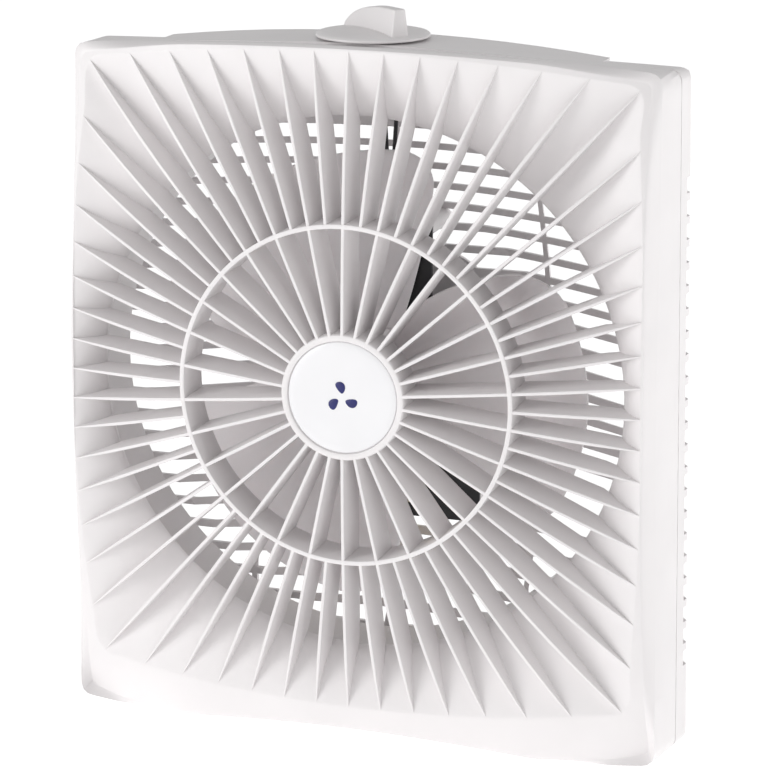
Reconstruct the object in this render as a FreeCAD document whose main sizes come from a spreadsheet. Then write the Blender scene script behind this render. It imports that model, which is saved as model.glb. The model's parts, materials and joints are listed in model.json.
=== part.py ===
import FreeCAD, Part
import math
import os
import re

import Sketcher
from FreeCAD import Placement, Rotation, Vector

# A small personal box fan, in millimetres. +X is to the right of someone who faces the fan,
# +Y points from the guard to the back, +Z is up. The origin is on the floor, under the middle of
# the fan. Depths are counted from the foremost face of the guard, and heights of the guard, the
# blades and the motor from the fan's axis.

SIZES = {
    # Overall
    "overall_depth": 96.0,
    "axis_height": 155.0,
    "half_width": 125.0,
    "shell_wall": 2.2,
    "seam_gap": 0.3,
    # Outline of the casing where the front edge is widest, and at the rear edge
    "front_edge_depth": 17.5,
    "corner_rise": 136.5,
    "front_spread": 4.4,
    "front_arch_rise": 6.0,
    "edge_slope": 0.28,
    "rear_edge_depth": 54.0,
    "rear_flare": 4.0,
    "rear_spread": 6.2,
    "rear_corner_drop": 2.0,
    "rear_arch_rise": 2.0,
    "rear_face_depth": 62.0,
    "rear_edge_round": 6.0,
    "corner_round": 5.0,
    "parting_depth": 43.0,
    # Feet: the flat of each foot, the lift of the corners and the arch between the feet
    "foot_inner": 78.0,
    "foot_outer": 110.0,
    "foot_lift": 0.8,
    "corner_lift": 2.2,
    "base_arch_rise": 5.7,
    # Control deck on top
    "deck_rise": 142.4,
    "deck_edge_rise": 0.0,
    "deck_skirt_half": 95.0,
    "deck_front_depth": 18.0,
    "deck_rear_depth": 56.0,
    # Domed front face: depth at the guard's ring, at the side and at the corner
    "ring_dome": 1.8,
    "side_radius": 125.0,
    "side_dome": 8.5,
    "corner_radius": 185.0,
    "corner_dome": 22.0,
    # Bell mouth and throat
    "throat_radius": 113.5,
    "throat_wall": 2.2,
    "lip_depth": 20.8,
    "throat_end_depth": 46.0,
    "bell_margin": 6.0,
    "bell_drop": 8.0,
    "bell_depth": 15.0,
    "mouth_margin": 0.0,
    "mouth_drop": -7.5,
    "mouth_depth": 6.0,
    "bell_skew": 2.0,
    "bell_round": 9.0,
    "mouth_round": 20.0,
    # Guard
    "ring_radius": 71.0,
    "ring_wall": 2.0,
    "hub_radius": 26.6,
    "hub_wall": 2.0,
    "hub_face": 2.4,
    "hub_depth": 17.0,
    "rib_width": 1.6,
    "rib_back_depth": 20.5,
    "outer_ribs": 60,
    "inner_ribs": 30,
    "badge_margin": 3.2,
    "badge_recess": 1.3,
    "badge_thickness": 0.9,
    # Rear guard
    "slot_pitch": 9.6,
    "slot_gap": 6.5,
    "slot_count": 22,
    "crown_rows": 1,
    "crown_columns": 1,
    "top_slot_height": 87.4,
    "slot_start_depth": 50.5,
    "bar_pitch": 62.0,
    "bar_width": 2.4,
    "bulge_base_radius": 116.0,
    "bulge_face_radius": 62.0,
    "motor_cover_radius": 46.0,
    "inlet_radius": 4.2,
    # Screws that hold the casing together
    "boss_inset": 11.0,
    "boss_drop": 14.5,
    "boss_lift": 21.0,
    "boss_radius": 5.0,
    "boss_front_depth": 19.5,
    "shell_screw_radius": 1.6,
    "shell_screw_head": 3.4,
    "shell_screw_seat": 50.0,
    "shell_screw_length": 20.0,
    "screw_clearance": 0.06,
    "head_room": 0.6,
    # Blades
    "blade_count": 3,
    "blade_phase": 127.3,
    "blade_radius": 94.0,
    "blade_mid_depth": 39.5,
    "blade_rise": 13.0,
    "blade_thickness": 2.0,
    "blade_root_angle": 59.0,
    "blade_tip_angle": 38.5,
    "blade_sweep": -13.0,
    "blade_corner": 12.0,
    "fan_hub_radius": 18.0,
    "fan_hub_wall": 2.0,
    "fan_hub_front": 28.0,
    "fan_hub_rear": 52.0,
    "fan_boss_radius": 6.5,
    "fan_boss_recess": 2.0,
    # Shaft line
    "shaft_radius": 3.0,
    "shaft_front": 21.5,
    "shaft_tail": 11.3,
    "running_gap": 0.03,
    "nut_radius": 7.0,
    "nut_length": 5.8,
    "bearing_radius": 5.5,
    "bearing_gap": 1.3,
    "front_boss_length": 9.0,
    "rear_boss_length": 6.4,
    "front_felt": 0.9,
    "rear_felt": 1.2,
    "washer_play": 0.55,
    "washer_radius": 5.0,
    "washer_thickness": 0.5,
    "clip_radius": 4.6,
    "clip_thickness": 0.6,
    "clip_play": 0.3,
    "clip_edge": 0.5,
    # Motor
    "stack_front": 65.0,
    "stack_thickness": 16.0,
    "stack_half": 28.0,
    "stack_top": 24.0,
    "stack_pole_base": 20.0,
    "stack_base": 46.0,
    "core_height": 12.0,
    "leg_inner": 17.0,
    "rotor_radius": 12.0,
    "air_gap": 0.4,
    "cage_radius": 11.2,
    "cage_ring": 2.2,
    "shading_size": 1.5,
    "shading_length": 14.0,
    "shading_offset": 15.6,
    "frame_strap": 3.0,
    "strap_gap": 3.5,
    "frame_half_height": 8.0,
    "frame_leg": 6.0,
    "motor_bolt_offset": 23.5,
    "motor_bolt_radius": 1.5,
    "motor_nut_radius": 2.9,
    "motor_nut_length": 1.8,
    "bobbin_wall": 1.0,
    "bobbin_half": 15.0,
    "flange_thickness": 1.2,
    "coil_build": 7.0,
    "tape_thickness": 0.4,
    "fuse_radius": 1.2,
    "fuse_length": 11.0,
    # Steel strap that holds the motor
    "plate_depth": 57.0,
    "plate_thickness": 1.4,
    "plate_half": 20.0,
    "plate_top": 65.0,
    "plate_shoulder": 22.0,
    "plate_foot_half": 42.0,
    "plate_waist_half": 32.0,
    "plate_foot_top": 50.0,
    "plate_base": 66.0,
    "plate_window_half": 17.8,
    "plate_window_top": 20.5,
    "plate_window_base": 60.5,
    "plate_hole": 10.0,
    "post_radius": 4.0,
    "post_top_half": 13.0,
    "post_top": 58.0,
    "post_base_half": 36.0,
    "post_base": 58.0,
    "strap_screw_radius": 1.5,
    "strap_screw_head": 3.2,
    "strap_screw_head_height": 1.6,
    "strap_screw_length": 12.0,
    # Speed switch and knob
    "switch_depth": 39.0,
    "switch_radius": 12.0,
    "switch_height": 15.5,
    "bush_radius": 4.5,
    "bush_length": 5.0,
    "bush_clearance": 0.2,
    "switch_nut_radius": 6.5,
    "switch_nut_height": 1.8,
    "switch_washer_height": 0.5,
    "switch_shaft_radius": 3.0,
    "switch_shaft_rise": 9.6,
    "terminal_width": 0.8,
    "terminal_pitch": 5.0,
    "terminal_height": 5.0,
    "terminal_reach": 15.5,
    "knob_radius": 23.5,
    "knob_gap": 0.6,
    "knob_skirt": 1.2,
    "knob_dome": 3.6,
    "knob_rebate_radius": 19.0,
    "knob_rebate": 1.0,
    "knob_pocket_radius": 9.0,
    "knob_pocket": 2.8,
    "grip_height": 13.0,
    "grip_thickness": 8.5,
    "grip_front": 20.0,
    "grip_rear": 17.0,
    "grip_azimuth": -38.0,
    # Wires and pads
    "wire_radius": 0.9,
    "wire_pitch": 2.6,
    "wire_bend": 6.0,
    "pad_length": 12.0,
    "pad_width": 22.0,
    "pad_thickness": 2.0,
    "pad_front_depth": 24.0,
    "pad_rear_depth": 46.5,
}

doc = FreeCAD.newDocument("BoxFan")
dims = doc.addObject("Spreadsheet::Sheet", "Dims")
nodes = []


def fill_sheet():
    for row, (alias, value) in enumerate(SIZES.items(), start=1):
        dims.set(f"A{row}", alias)
        dims.set(f"B{row}", str(value))
        dims.setAlias(f"B{row}", alias)
    doc.recompute()


def size(alias):
    return float(dims.get(alias))


def bind(item, prop, formula):
    """Ties one property to the sheet. A formula is written with the bare names of its cells."""
    names = re.compile(r"[a-z_]+")

    def qualify(match):
        word = match.group(0)
        return f"Dims.{word}" if word in SIZES else word

    item.setExpression(prop, names.sub(qualify, str(formula)))


def at_depth(formula):
    return f"({formula}) - overall_depth / 2"


def on_axis(formula="0"):
    return f"axis_height + ({formula})"


def depth_y(depth):
    return depth - size("overall_depth") / 2


def keep(item, label):
    """Makes an object a sub-part: its label names its file."""
    item.Label = label
    nodes.append(item)
    return item


def place(item, spot, turn=None):
    item.Placement = Placement(Vector(), turn or Rotation())
    for letter, formula in zip("xyz", spot):
        bind(item, f"Placement.Base.{letter}", formula)


BACKWARD = Rotation(Vector(1, 0, 0), -90)


def rod(radius, length, x, depth, height, name="Rod"):
    """A cylinder along the fan's axis, from a depth backwards."""
    item = doc.addObject("Part::Cylinder", name)
    bind(item, "Radius", radius)
    bind(item, "Height", length)
    place(item, (x, at_depth(depth), on_axis(height)), BACKWARD)
    return item


def upright(radius, length, x, depth, bottom, name="Upright"):
    """A standing cylinder, from a height above the floor upwards."""
    item = doc.addObject("Part::Cylinder", name)
    bind(item, "Radius", radius)
    bind(item, "Height", length)
    place(item, (x, at_depth(depth), bottom))
    return item


def block(low, high, name="Block"):
    """A box from its low corner to its high one: x, depth, height above the axis."""
    item = doc.addObject("Part::Box", name)
    for prop, least, most in zip(("Length", "Width", "Height"), low, high):
        bind(item, prop, f"({most}) - ({least})")
    place(item, (low[0], at_depth(low[1]), on_axis(low[2])))
    return item


def cut(base, tool, name="Cut"):
    item = doc.addObject("Part::Cut", name)
    item.Base = base
    item.Tool = tool
    return item


def fuse(shapes, name="Fuse"):
    item = doc.addObject("Part::MultiFuse", name)
    item.Shapes = shapes
    return item


def group(shapes, name="Group"):
    """Identical separate solids that share one node."""
    item = doc.addObject("Part::Compound", name)
    item.Links = shapes
    return item


def solid_feature(shape, label):
    item = doc.addObject("Part::Feature", label)
    item.Shape = shape
    item.Placement = Placement()
    return keep(item, label)


# Sketched bodies --------------------------------------------------------------------------------

def plane_of(body, role):
    for feature in body.Origin.OriginFeatures:
        if feature.Role == role:
            return feature
    raise ValueError(role)


def new_body(label, role):
    body = doc.addObject("PartDesign::Body", label)
    sketch = body.newObject("Sketcher::SketchObject", f"{label}_sketch")
    sketch.AttachmentSupport = [(plane_of(body, role), "")]
    sketch.MapMode = "FlatFace"
    keep(body, label)
    return body, sketch


def fix_point(sketch, geometry, corner, spot):
    for kind, formula in zip(("DistanceX", "DistanceY"), spot):
        index = sketch.addConstraint(Sketcher.Constraint(kind, geometry, corner, 1.0))
        bind(sketch, f"Constraints[{index}]", formula)


def sketch_polygon(sketch, corners):
    """A closed outline whose every corner is tied to the sheet."""
    first = sketch.GeometryCount
    guess = [Vector(math.cos(2 * math.pi * i / len(corners)), math.sin(2 * math.pi * i / len(corners)), 0)
             for i in range(len(corners))]
    for i in range(len(corners)):
        sketch.addGeometry(Part.LineSegment(guess[i], guess[(i + 1) % len(corners)]))
    for i in range(len(corners)):
        following = first + (i + 1) % len(corners)
        sketch.addConstraint(Sketcher.Constraint("Coincident", first + i, 2, following, 1))
    for i, spot in enumerate(corners):
        fix_point(sketch, first + i, 1, spot)


def sketch_circle(sketch, radius, spot=("0", "0")):
    index = sketch.addGeometry(Part.Circle(Vector(1, 1, 0), Vector(0, 0, 1), 5))
    fix_point(sketch, index, 3, spot)
    number = sketch.addConstraint(Sketcher.Constraint("Radius", index, 5.0))
    bind(sketch, f"Constraints[{number}]", radius)


def pad(body, sketch, length):
    feature = body.newObject("PartDesign::Pad", f"{body.Name}_pad")
    feature.Profile = sketch
    bind(feature, "Length", length)
    # A pad of a sketch on the XZ plane rises towards -Y, so it is turned to run backwards.
    feature.Reversed = True
    body.Tip = feature
    return feature


def rectangle(left, right, low, high):
    return [(left, low), (right, low), (right, high), (left, high)]


# Casing -----------------------------------------------------------------------------------------

def outline(end, depth, inset=0.0):
    """The casing's closed outline at a depth, with a front or a rear outline's sizes."""
    y = depth_y(depth)
    rear = end == "rear"
    top = size("axis_height") + size("corner_rise") - inset
    half_top = size("half_width") - inset
    if rear:
        top -= size("rear_corner_drop")
        half_top += size("rear_flare")
    half_base = half_top + size(f"{end}_spread")
    floor = size("foot_lift") + inset
    lift = floor + size("corner_lift")
    inner = size("foot_inner")
    outer = size("foot_outer")

    def at(x, z):
        return Vector(x, y, z)

    corners = [at(half_top, top), at(half_base, lift), at(outer, floor), at(inner, floor)]
    mirrored = [at(-p.x, p.z) for p in reversed(corners)]
    base = Part.Arc(corners[-1], at(0, floor + size("base_arch_rise")), mirrored[0]).toShape()
    crown = Part.Arc(mirrored[-1], at(0, top + size(f"{end}_arch_rise")), corners[0]).toShape()
    right = [Part.makeLine(a, b) for a, b in zip(corners, corners[1:])]
    left = [Part.makeLine(a, b) for a, b in zip(mirrored, mirrored[1:])]
    return Part.Wire(right + [base] + left + [crown])


def casing_block(inset=0.0):
    """The casing as a solid block, or the space inside its walls."""
    edge = size("front_edge_depth")
    start = 2.0
    taper = (edge - start) * size("edge_slope")
    back = size("rear_face_depth") - inset
    wires = [
        outline("front", start, inset + taper),
        outline("front", edge, inset),
        outline("rear", size("rear_edge_depth"), inset),
        outline("rear", back, inset + size("rear_edge_round")),
    ]
    return Part.makeLoft(wires, True, True)


def round_corners(block_solid, radius):
    """Rounds the casing's four long corners."""
    chosen = []
    for edge in block_solid.Edges:
        middle = (edge.BoundBox.XMin + edge.BoundBox.XMax) / 2
        along = edge.BoundBox.YLength
        if abs(middle) > size("half_width") - radius and along > 20:
            chosen.append(edge)
    return block_solid.makeFillet(radius, chosen)


def dome(back_shift=0.0):
    """Everything behind the domed front face."""
    end_radius = 210.0
    depth = 70.0
    slope = (size("corner_dome") - size("side_dome")) / (size("corner_radius") - size("side_radius"))
    rim = size("corner_dome") + slope * 1.25 * (end_radius - size("corner_radius"))
    face_points = [
        (size("hub_radius"), 0.0),
        (size("ring_radius"), size("ring_dome")),
        (size("side_radius"), size("side_dome")),
        (size("corner_radius"), size("corner_dome")),
        (end_radius, rim),
    ]

    def at(radius, d):
        return Vector(radius, depth_y(d + back_shift), size("axis_height"))

    curve = Part.BSplineCurve()
    curve.interpolate([at(*p) for p in face_points])
    hub = at(0, 0)
    far = at(end_radius, depth)
    centre = at(0, depth)
    edges = [
        Part.makeLine(hub, at(*face_points[0])),
        curve.toShape(),
        Part.makeLine(at(*face_points[-1]), far),
        Part.makeLine(far, centre),
        Part.makeLine(centre, hub),
    ]
    face = Part.Face(Part.Wire(edges))
    return face.revolve(hub, Vector(0, 1, 0), 360)


def mouth_section(half, up, down, rounding, depth, grow):
    """One rounded square of the bell mouth, as eight edges that start on the right side."""
    y = depth_y(depth + grow)
    axis = size("axis_height")
    right = half + grow
    high = axis + up + grow
    low = axis - down - grow
    r = rounding
    corner_centres = [
        (right - r, high - r, 0), (-right + r, high - r, 90),
        (-right + r, low + r, 180), (right - r, low + r, 270),
    ]
    return rounded_wire([(x, z, r, start, start + 90) for x, z, start in corner_centres], y)


def throat_section(depth, grow):
    """The round end of the bell mouth, cut into the same eight edges."""
    y = depth_y(depth + grow)
    radius = size("throat_radius") + grow
    height = size("corner_rise") - size("bell_drop")
    width = size("half_width") - size("bell_margin")
    diagonal = math.degrees(math.atan2(height, width))
    spread = 12.0
    starts = [diagonal - spread, 180 - diagonal - spread, 180 + diagonal - spread, 360 - diagonal - spread]
    arcs = [(0, size("axis_height"), radius, start, start + 2 * spread) for start in starts]
    return rounded_wire(arcs, y, radius)


def rounded_wire(arcs, y, round_sides=None):
    """Four corner arcs joined by straight sides, or by arcs of one circle."""
    edges = []
    ends = []
    for x, z, radius, start, stop in arcs:
        points = []
        for angle in (start, (start + stop) / 2, stop):
            turn = math.radians(angle)
            points.append(Vector(x + radius * math.cos(turn), y, z + radius * math.sin(turn)))
        ends.append((points[0], points[2], stop))
        edges.append(Part.Arc(*points).toShape())
    for i, (_, finish, stop) in enumerate(ends):
        begin, _, _ = ends[(i + 1) % 4]
        if round_sides:
            next_start = arcs[(i + 1) % 4][3] + (360 if i == 3 else 0)
            middle = math.radians((stop + next_start) / 2)
            via = Vector(round_sides * math.cos(middle), y, size("axis_height") + round_sides * math.sin(middle))
            side = Part.Arc(finish, via, begin).toShape()
        else:
            side = Part.makeLine(finish, begin)
        edges.insert(2 * i + 1, side)
    return Part.Wire(edges)


def bell_mouth(grow=0.0):
    """The hollow in the front face: a rounded square on the dome that narrows to the throat."""
    sections = [throat_section(size("lip_depth"), grow)]
    half = size("half_width")
    up = size("corner_rise")
    skew = size("bell_skew")
    for name in ("bell", "mouth"):
        width = half - size(f"{name}_margin")
        height = up - size(f"{name}_drop")
        rounding = size(f"{name}_round")
        sections.append(mouth_section(width, height, height - skew, rounding, size(f"{name}_depth"), grow))
    far = 6.5
    height = up - size("mouth_drop") + 16
    sections.append(mouth_section(half + far, height, height - skew, size("mouth_round"), -3.0, grow))
    return Part.makeLoft(sections, True, True)


def axial_cylinder(radius, start, end):
    base = Vector(0, depth_y(start), size("axis_height"))
    return Part.makeCylinder(radius, end - start, base, Vector(0, 1, 0))


def tube(outer, inner, start, end):
    return axial_cylinder(outer, start, end).cut(axial_cylinder(inner, start - 1, end + 1))


def box(x_low, x_high, d_low, d_high, z_low, z_high):
    corner = Vector(x_low, depth_y(d_low), z_low)
    return Part.makeBox(x_high - x_low, d_high - d_low, z_high - z_low, corner)


def deck_top():
    return size("axis_height") + size("deck_rise")


def deck_block(inset=0.0):
    """The raised control deck, or the space under it."""
    top = deck_top() - inset
    low = size("axis_height") + size("corner_rise") - 12
    y = depth_y(size("deck_front_depth") + inset)
    length = size("deck_rear_depth") - size("deck_front_depth") - 2 * inset
    skirt = size("deck_skirt_half") - inset
    edge = size("axis_height") + size("corner_rise") + size("deck_edge_rise") - inset

    def at(x, z):
        return Vector(x, y, z)

    outline = Part.Wire([
        Part.makeLine(at(skirt, edge), at(skirt, low)),
        Part.makeLine(at(skirt, low), at(-skirt, low)),
        Part.makeLine(at(-skirt, low), at(-skirt, edge)),
        Part.Arc(at(-skirt, edge), at(0, top), at(skirt, edge)).toShape(),
    ])
    return Part.Face(outline).extrude(Vector(0, length, 0))


def rear_region(shift=0.0):
    """The space that belongs to the rear shell: behind the parting plane, and the control deck."""
    reach = 220.0
    high = deck_top() + 20
    behind = box(-reach, reach, size("parting_depth") + shift, 120, -20, high)
    half = size("deck_skirt_half") + 2 - shift
    front = size("deck_front_depth") + size("shell_wall") + shift
    low = size("axis_height") + size("corner_rise") - 10 + shift
    deck = box(-half, half, front, 120, low, high)
    return behind.fuse(deck)


def boss_spots():
    for side in (-1, 1):
        for height in (size("axis_height") + size("corner_rise") - size("boss_drop"), size("boss_lift")):
            yield side * (size("half_width") - size("boss_inset")), height


def boss(x, z, radius, start, end):
    return Part.makeCylinder(radius, end - start, Vector(x, depth_y(start), z), Vector(0, 1, 0))


def pad_spots():
    middle = (size("foot_inner") + size("foot_outer")) / 2
    for side in (-1, 1):
        for depth in (size("pad_front_depth"), size("pad_rear_depth")):
            yield side * middle, depth


def pad_pockets():
    half = size("pad_width") / 2 + 0.1
    top = size("pad_thickness") + 0.05
    pockets = [box(x - half, x + half, d - 0.1, d + size("pad_length") + 0.1, -1, top) for x, d in pad_spots()]
    return Part.makeCompound(pockets)


def ribs():
    """The sunburst: long outer ribs and short inner ones, as plates that the dome then trims."""
    axis = Vector(0, 0, size("axis_height"))
    back = depth_y(size("rib_back_depth"))
    front = depth_y(-2)
    half = size("rib_width") / 2
    plates = []
    for count, start, end, first in (
        (int(size("outer_ribs")), size("ring_radius") - 0.5, 200.0, 90.0),
        (int(size("inner_ribs")), size("hub_radius") - 1.0, size("ring_radius") + 0.4, 90.0),
    ):
        for i in range(count):
            plate = Part.makeBox(end - start, back - front, 2 * half, Vector(start, front, -half))
            plate.rotate(Vector(), Vector(0, 1, 0), -(first + i * 360.0 / count))
            plate.translate(axis)
            plates.append(plate)
    return plates


def guard(front_face):
    """Ribs, ring and hub, trimmed to the dome in front and to just inside the bell mouth's wall."""
    limit = front_face.common(bell_mouth(0.8))
    trimmed = [plate.common(limit) for plate in ribs()]
    half = size("ring_wall") / 2
    ring = tube(size("ring_radius") + half, size("ring_radius") - half, -1, size("rib_back_depth"))
    hub = axial_cylinder(size("hub_radius"), 0, size("hub_depth"))
    hub = hub.cut(axial_cylinder(size("hub_radius") - size("hub_wall"), size("hub_face"), 40))
    recess = size("hub_radius") - size("badge_margin") + 0.1
    hub = hub.cut(axial_cylinder(recess, -1, size("badge_recess")))
    return trimmed + [ring.common(front_face), hub]


def front_shell():
    """Front casing, bell mouth, throat and guard: one moulding."""
    wall = size("shell_wall")
    front_face = dome()
    outer = round_corners(casing_block(), size("corner_round")).fuse(deck_block())
    outer = outer.common(front_face)
    hollow = casing_block(wall).fuse(deck_block(wall)).common(dome(wall))
    throat_end = size("throat_end_depth")
    lip = size("lip_depth")
    throat = size("throat_radius")
    outside = bell_mouth(wall).fuse(axial_cylinder(throat + size("throat_wall"), lip, throat_end))
    hollow = hollow.cut(outside)
    shell = outer.cut(hollow)
    shell = shell.cut(bell_mouth()).cut(axial_cylinder(throat, lip - 1, 90))
    shell = shell.cut(rear_region())
    shell = shell.fuse(tube(throat + size("throat_wall"), throat, lip + 0.5, throat_end))
    parting = size("parting_depth")
    bosses = [boss(x, z, size("boss_radius"), size("boss_front_depth"), parting) for x, z in boss_spots()]
    shell = shell.fuse(guard(front_face) + bosses)
    hole = size("shell_screw_radius") + size("screw_clearance")
    holes = [boss(x, z, hole, parting - 14, parting + 1) for x, z in boss_spots()]
    shell = shell.cut(Part.makeCompound(holes + [pad_pockets()]))
    return solid_feature(shell.removeSplitter(), "front_shell")


def slots():
    """The rear guard's slots, row by row between the upright bars."""
    start = size("slot_start_depth")
    half_gap = size("slot_gap") / 2
    half_bar = size("bar_width") / 2
    all_columns = 2
    reach = size("half_width") + 30
    crown = int(size("crown_rows"))
    pieces = []
    for row in range(-crown, int(size("slot_count"))):
        z = size("axis_height") + size("top_slot_height") - row * size("slot_pitch")
        columns = int(size("crown_columns")) if row < 0 else all_columns
        for column in range(columns):
            left = column * size("bar_pitch") + half_bar
            right = (column + 1) * size("bar_pitch") - half_bar
            if column == all_columns - 1:
                right = reach
            for low, high in ((left, right), (-right, -left)):
                pieces.append(box(low, high, start, 120, z - half_gap, z + half_gap))
    return Part.makeCompound(pieces)


def bulge(inset=0.0):
    """The cone that stands out round the motor."""
    base = size("rear_face_depth") - 2
    axis = Vector(0, depth_y(base), size("axis_height"))
    steep = (size("overall_depth") - base) / (size("bulge_base_radius") - size("bulge_face_radius"))
    sideways = inset * (math.hypot(1, steep) - 1) / steep
    height = size("overall_depth") - base - inset
    root_radius = size("bulge_base_radius") - sideways
    cone = Part.makeCone(root_radius, size("bulge_face_radius") - sideways, height, axis, Vector(0, 1, 0))
    return cone.fuse(axial_cylinder(root_radius, base - size("shell_wall"), base))


def post_spots():
    for side in (-1, 1):
        yield side * size("post_top_half"), size("axis_height") + size("post_top")
        yield side * size("post_base_half"), size("axis_height") - size("post_base")


def rear_shell():
    """Rear casing, slotted rear guard, control deck and motor posts: one moulding."""
    wall = size("shell_wall")
    outer = round_corners(casing_block(), size("corner_round")).fuse([deck_block(), bulge()])
    inner = casing_block(wall).fuse([deck_block(wall), bulge(wall)])
    shell = outer.cut(inner).common(rear_region(size("seam_gap")))
    openings = slots().cut(axial_cylinder(size("motor_cover_radius"), 0, 120))
    shell = shell.cut(openings)
    parting = size("parting_depth") + size("seam_gap")
    face = size("rear_face_depth")
    additions = [boss(x, z, size("boss_radius") + 1, parting, face - 1) for x, z in boss_spots()]
    plate_back = size("plate_depth") + size("plate_thickness")
    additions += [
        boss(x, z, size("post_radius"), plate_back, size("overall_depth") - 1).common(bulge(0.5))
        for x, z in post_spots()
    ]
    shell = shell.fuse(additions)
    head = size("shell_screw_head") + size("head_room")
    seat = size("shell_screw_seat")
    shank = size("shell_screw_radius") + size("screw_clearance")
    pilot = size("strap_screw_radius") + size("screw_clearance")
    cuts = [boss(x, z, head, seat, face + 1) for x, z in boss_spots()]
    cuts += [boss(x, z, shank, parting - 1, face) for x, z in boss_spots()]
    cuts += [boss(x, z, pilot, plate_back - 1, plate_back + size("strap_screw_length")) for x, z in post_spots()]
    bush = size("bush_radius") + size("bush_clearance")
    deck_hole = Vector(0, depth_y(size("switch_depth")), deck_top() - 10)
    cuts.append(Part.makeCylinder(bush, 20, deck_hole))
    inlet_height = size("foot_lift") + 16
    cuts.append(boss(0, inlet_height, size("inlet_radius"), face - 10, face + 5))
    shell = shell.cut(Part.makeCompound(cuts + [pad_pockets()]))
    return solid_feature(shell.removeSplitter(), "rear_shell")


def shell_screws():
    screws = []
    for side in ("", "-"):
        for height in ("corner_rise - boss_drop", "boss_lift - axis_height"):
            x = f"{side}(half_width - boss_inset)"
            shank = rod("shell_screw_radius", "shell_screw_length + 0.5", x,
                        "shell_screw_seat - shell_screw_length", height)
            head = rod("shell_screw_head", "2.2", x, "shell_screw_seat", height)
            screws.append(fuse([shank, head], "ShellScrew"))
    keep(group(screws), "shell_screws")


def foot_pads():
    pads = []
    for side in (-1, 1):
        for depth in ("pad_front_depth", "pad_rear_depth"):
            item = doc.addObject("Part::Box", "FootPad")
            bind(item, "Length", "pad_width")
            bind(item, "Width", "pad_length")
            bind(item, "Height", "pad_thickness")
            middle = f"{side} * (foot_inner + foot_outer) / 2 - pad_width / 2"
            place(item, (middle, at_depth(depth), "0"))
            pads.append(item)
    keep(group(pads), "foot_pads")


def hub_badge():
    """A plain round disc let into the hub."""
    body, sketch = new_body("hub_badge", "XZ_Plane")
    sketch_circle(sketch, "hub_radius - badge_margin")
    feature = pad(body, sketch, "badge_thickness")
    doc.recompute()
    place(body, ("0", at_depth("badge_recess - badge_thickness"), on_axis()))
    doc.recompute()
    chamfer = body.newObject("PartDesign::Chamfer", "hub_badge_chamfer")
    front = min(feature.Shape.Edges, key=lambda edge: edge.BoundBox.YMin)
    number = [edge.isSame(front) for edge in feature.Shape.Edges].index(True) + 1
    chamfer.Base = (feature, [f"Edge{number}"])
    chamfer.Size = 0.3
    body.Tip = chamfer


# Rotor ------------------------------------------------------------------------------------------

def blade_edge(phase, across, share):
    """A point of a blade's outline seen along the axis: its radius and its angle in radians."""
    root = size("fan_hub_radius") - 1.2
    radius = root + (size("blade_radius") - root) * share
    half = size("blade_root_angle") + (size("blade_tip_angle") - size("blade_root_angle")) * share
    return radius, math.radians(phase + size("blade_sweep") * share + half * across)


def blade_point(phase, across, share, depth):
    radius, angle = blade_edge(phase, across, share)
    z = size("axis_height") + radius * math.sin(angle)
    return Vector(radius * math.cos(angle), depth_y(depth), z)


def blade_outline(phase):
    """The blade's outline as a prism along the axis, with its two tip corners rounded."""
    sides = []
    for across in (-1, 1):
        curve = Part.BSplineCurve()
        curve.interpolate([blade_point(phase, across, i / 4, 0) for i in range(5)])
        sides.append(curve.toShape())
    tip = Part.Arc(*[blade_point(phase, across, 1, 0) for across in (-1, 0, 1)]).toShape()
    root = Part.Arc(*[blade_point(phase, across, 0, 0) for across in (1, 0, -1)]).toShape()
    prism = Part.Face(Part.Wire([sides[0], tip, sides[1], root])).extrude(Vector(0, 90, 0))
    corners = [
        edge for edge in prism.Edges
        if edge.BoundBox.YLength > 80
        and math.hypot(edge.BoundBox.Center.x, edge.BoundBox.Center.z - size("axis_height"))
        > size("blade_radius") - 1
    ]
    return prism.makeFillet(size("blade_corner"), corners)


def blade(phase):
    """One paddle blade: a twisted sheet that is widest at its root angle and rises to the front."""
    rows = []
    for i in range(7):
        row = []
        for j in range(9):
            across = 1.12 * (-1 + j / 4)
            depth = size("blade_mid_depth") - size("blade_rise") * across - size("blade_thickness") / 2
            row.append(blade_point(phase, across, -0.05 + 1.1 * i / 6, depth))
        rows.append(row)
    surface = Part.BSplineSurface()
    surface.interpolate(rows)
    sheet = surface.toShape().extrude(Vector(0, size("blade_thickness"), 0))
    return sheet.common(blade_outline(phase))


def fan_blades():
    """Hub cup with its centre boss, and the blades round it."""
    front = size("fan_hub_front")
    rear = size("fan_hub_rear")
    radius = size("fan_hub_radius")
    hub = axial_cylinder(radius, front, rear)
    hub = hub.cut(axial_cylinder(radius - size("fan_hub_wall"), front + size("fan_hub_wall"), rear + 1))
    hub = hub.fuse(axial_cylinder(size("fan_boss_radius"), front, rear - size("fan_boss_recess")))
    count = int(size("blade_count"))
    blades = [blade(size("blade_phase") + i * 360.0 / count) for i in range(count)]
    inside = axial_cylinder(radius - size("fan_hub_wall"), front + size("fan_hub_wall"), rear + 1)
    blades = [item.cut(inside) for item in blades]
    rotor = hub.fuse(blades)
    bore = size("shaft_radius") + size("running_gap")
    rotor = rotor.cut(axial_cylinder(bore, 0, 90))
    return solid_feature(rotor, "fan_blades")


def turned(label, pieces, bore=None):
    """A turned piece on the axis, from steps of radius, start and length."""
    steps = [rod(radius, length, "0", start, "0") for radius, start, length in pieces]
    whole = steps[0] if len(steps) == 1 else fuse(steps)
    if bore:
        whole = cut(whole, rod(bore, "120", "0", "-10", "0"))
    return keep(whole, label)


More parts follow.
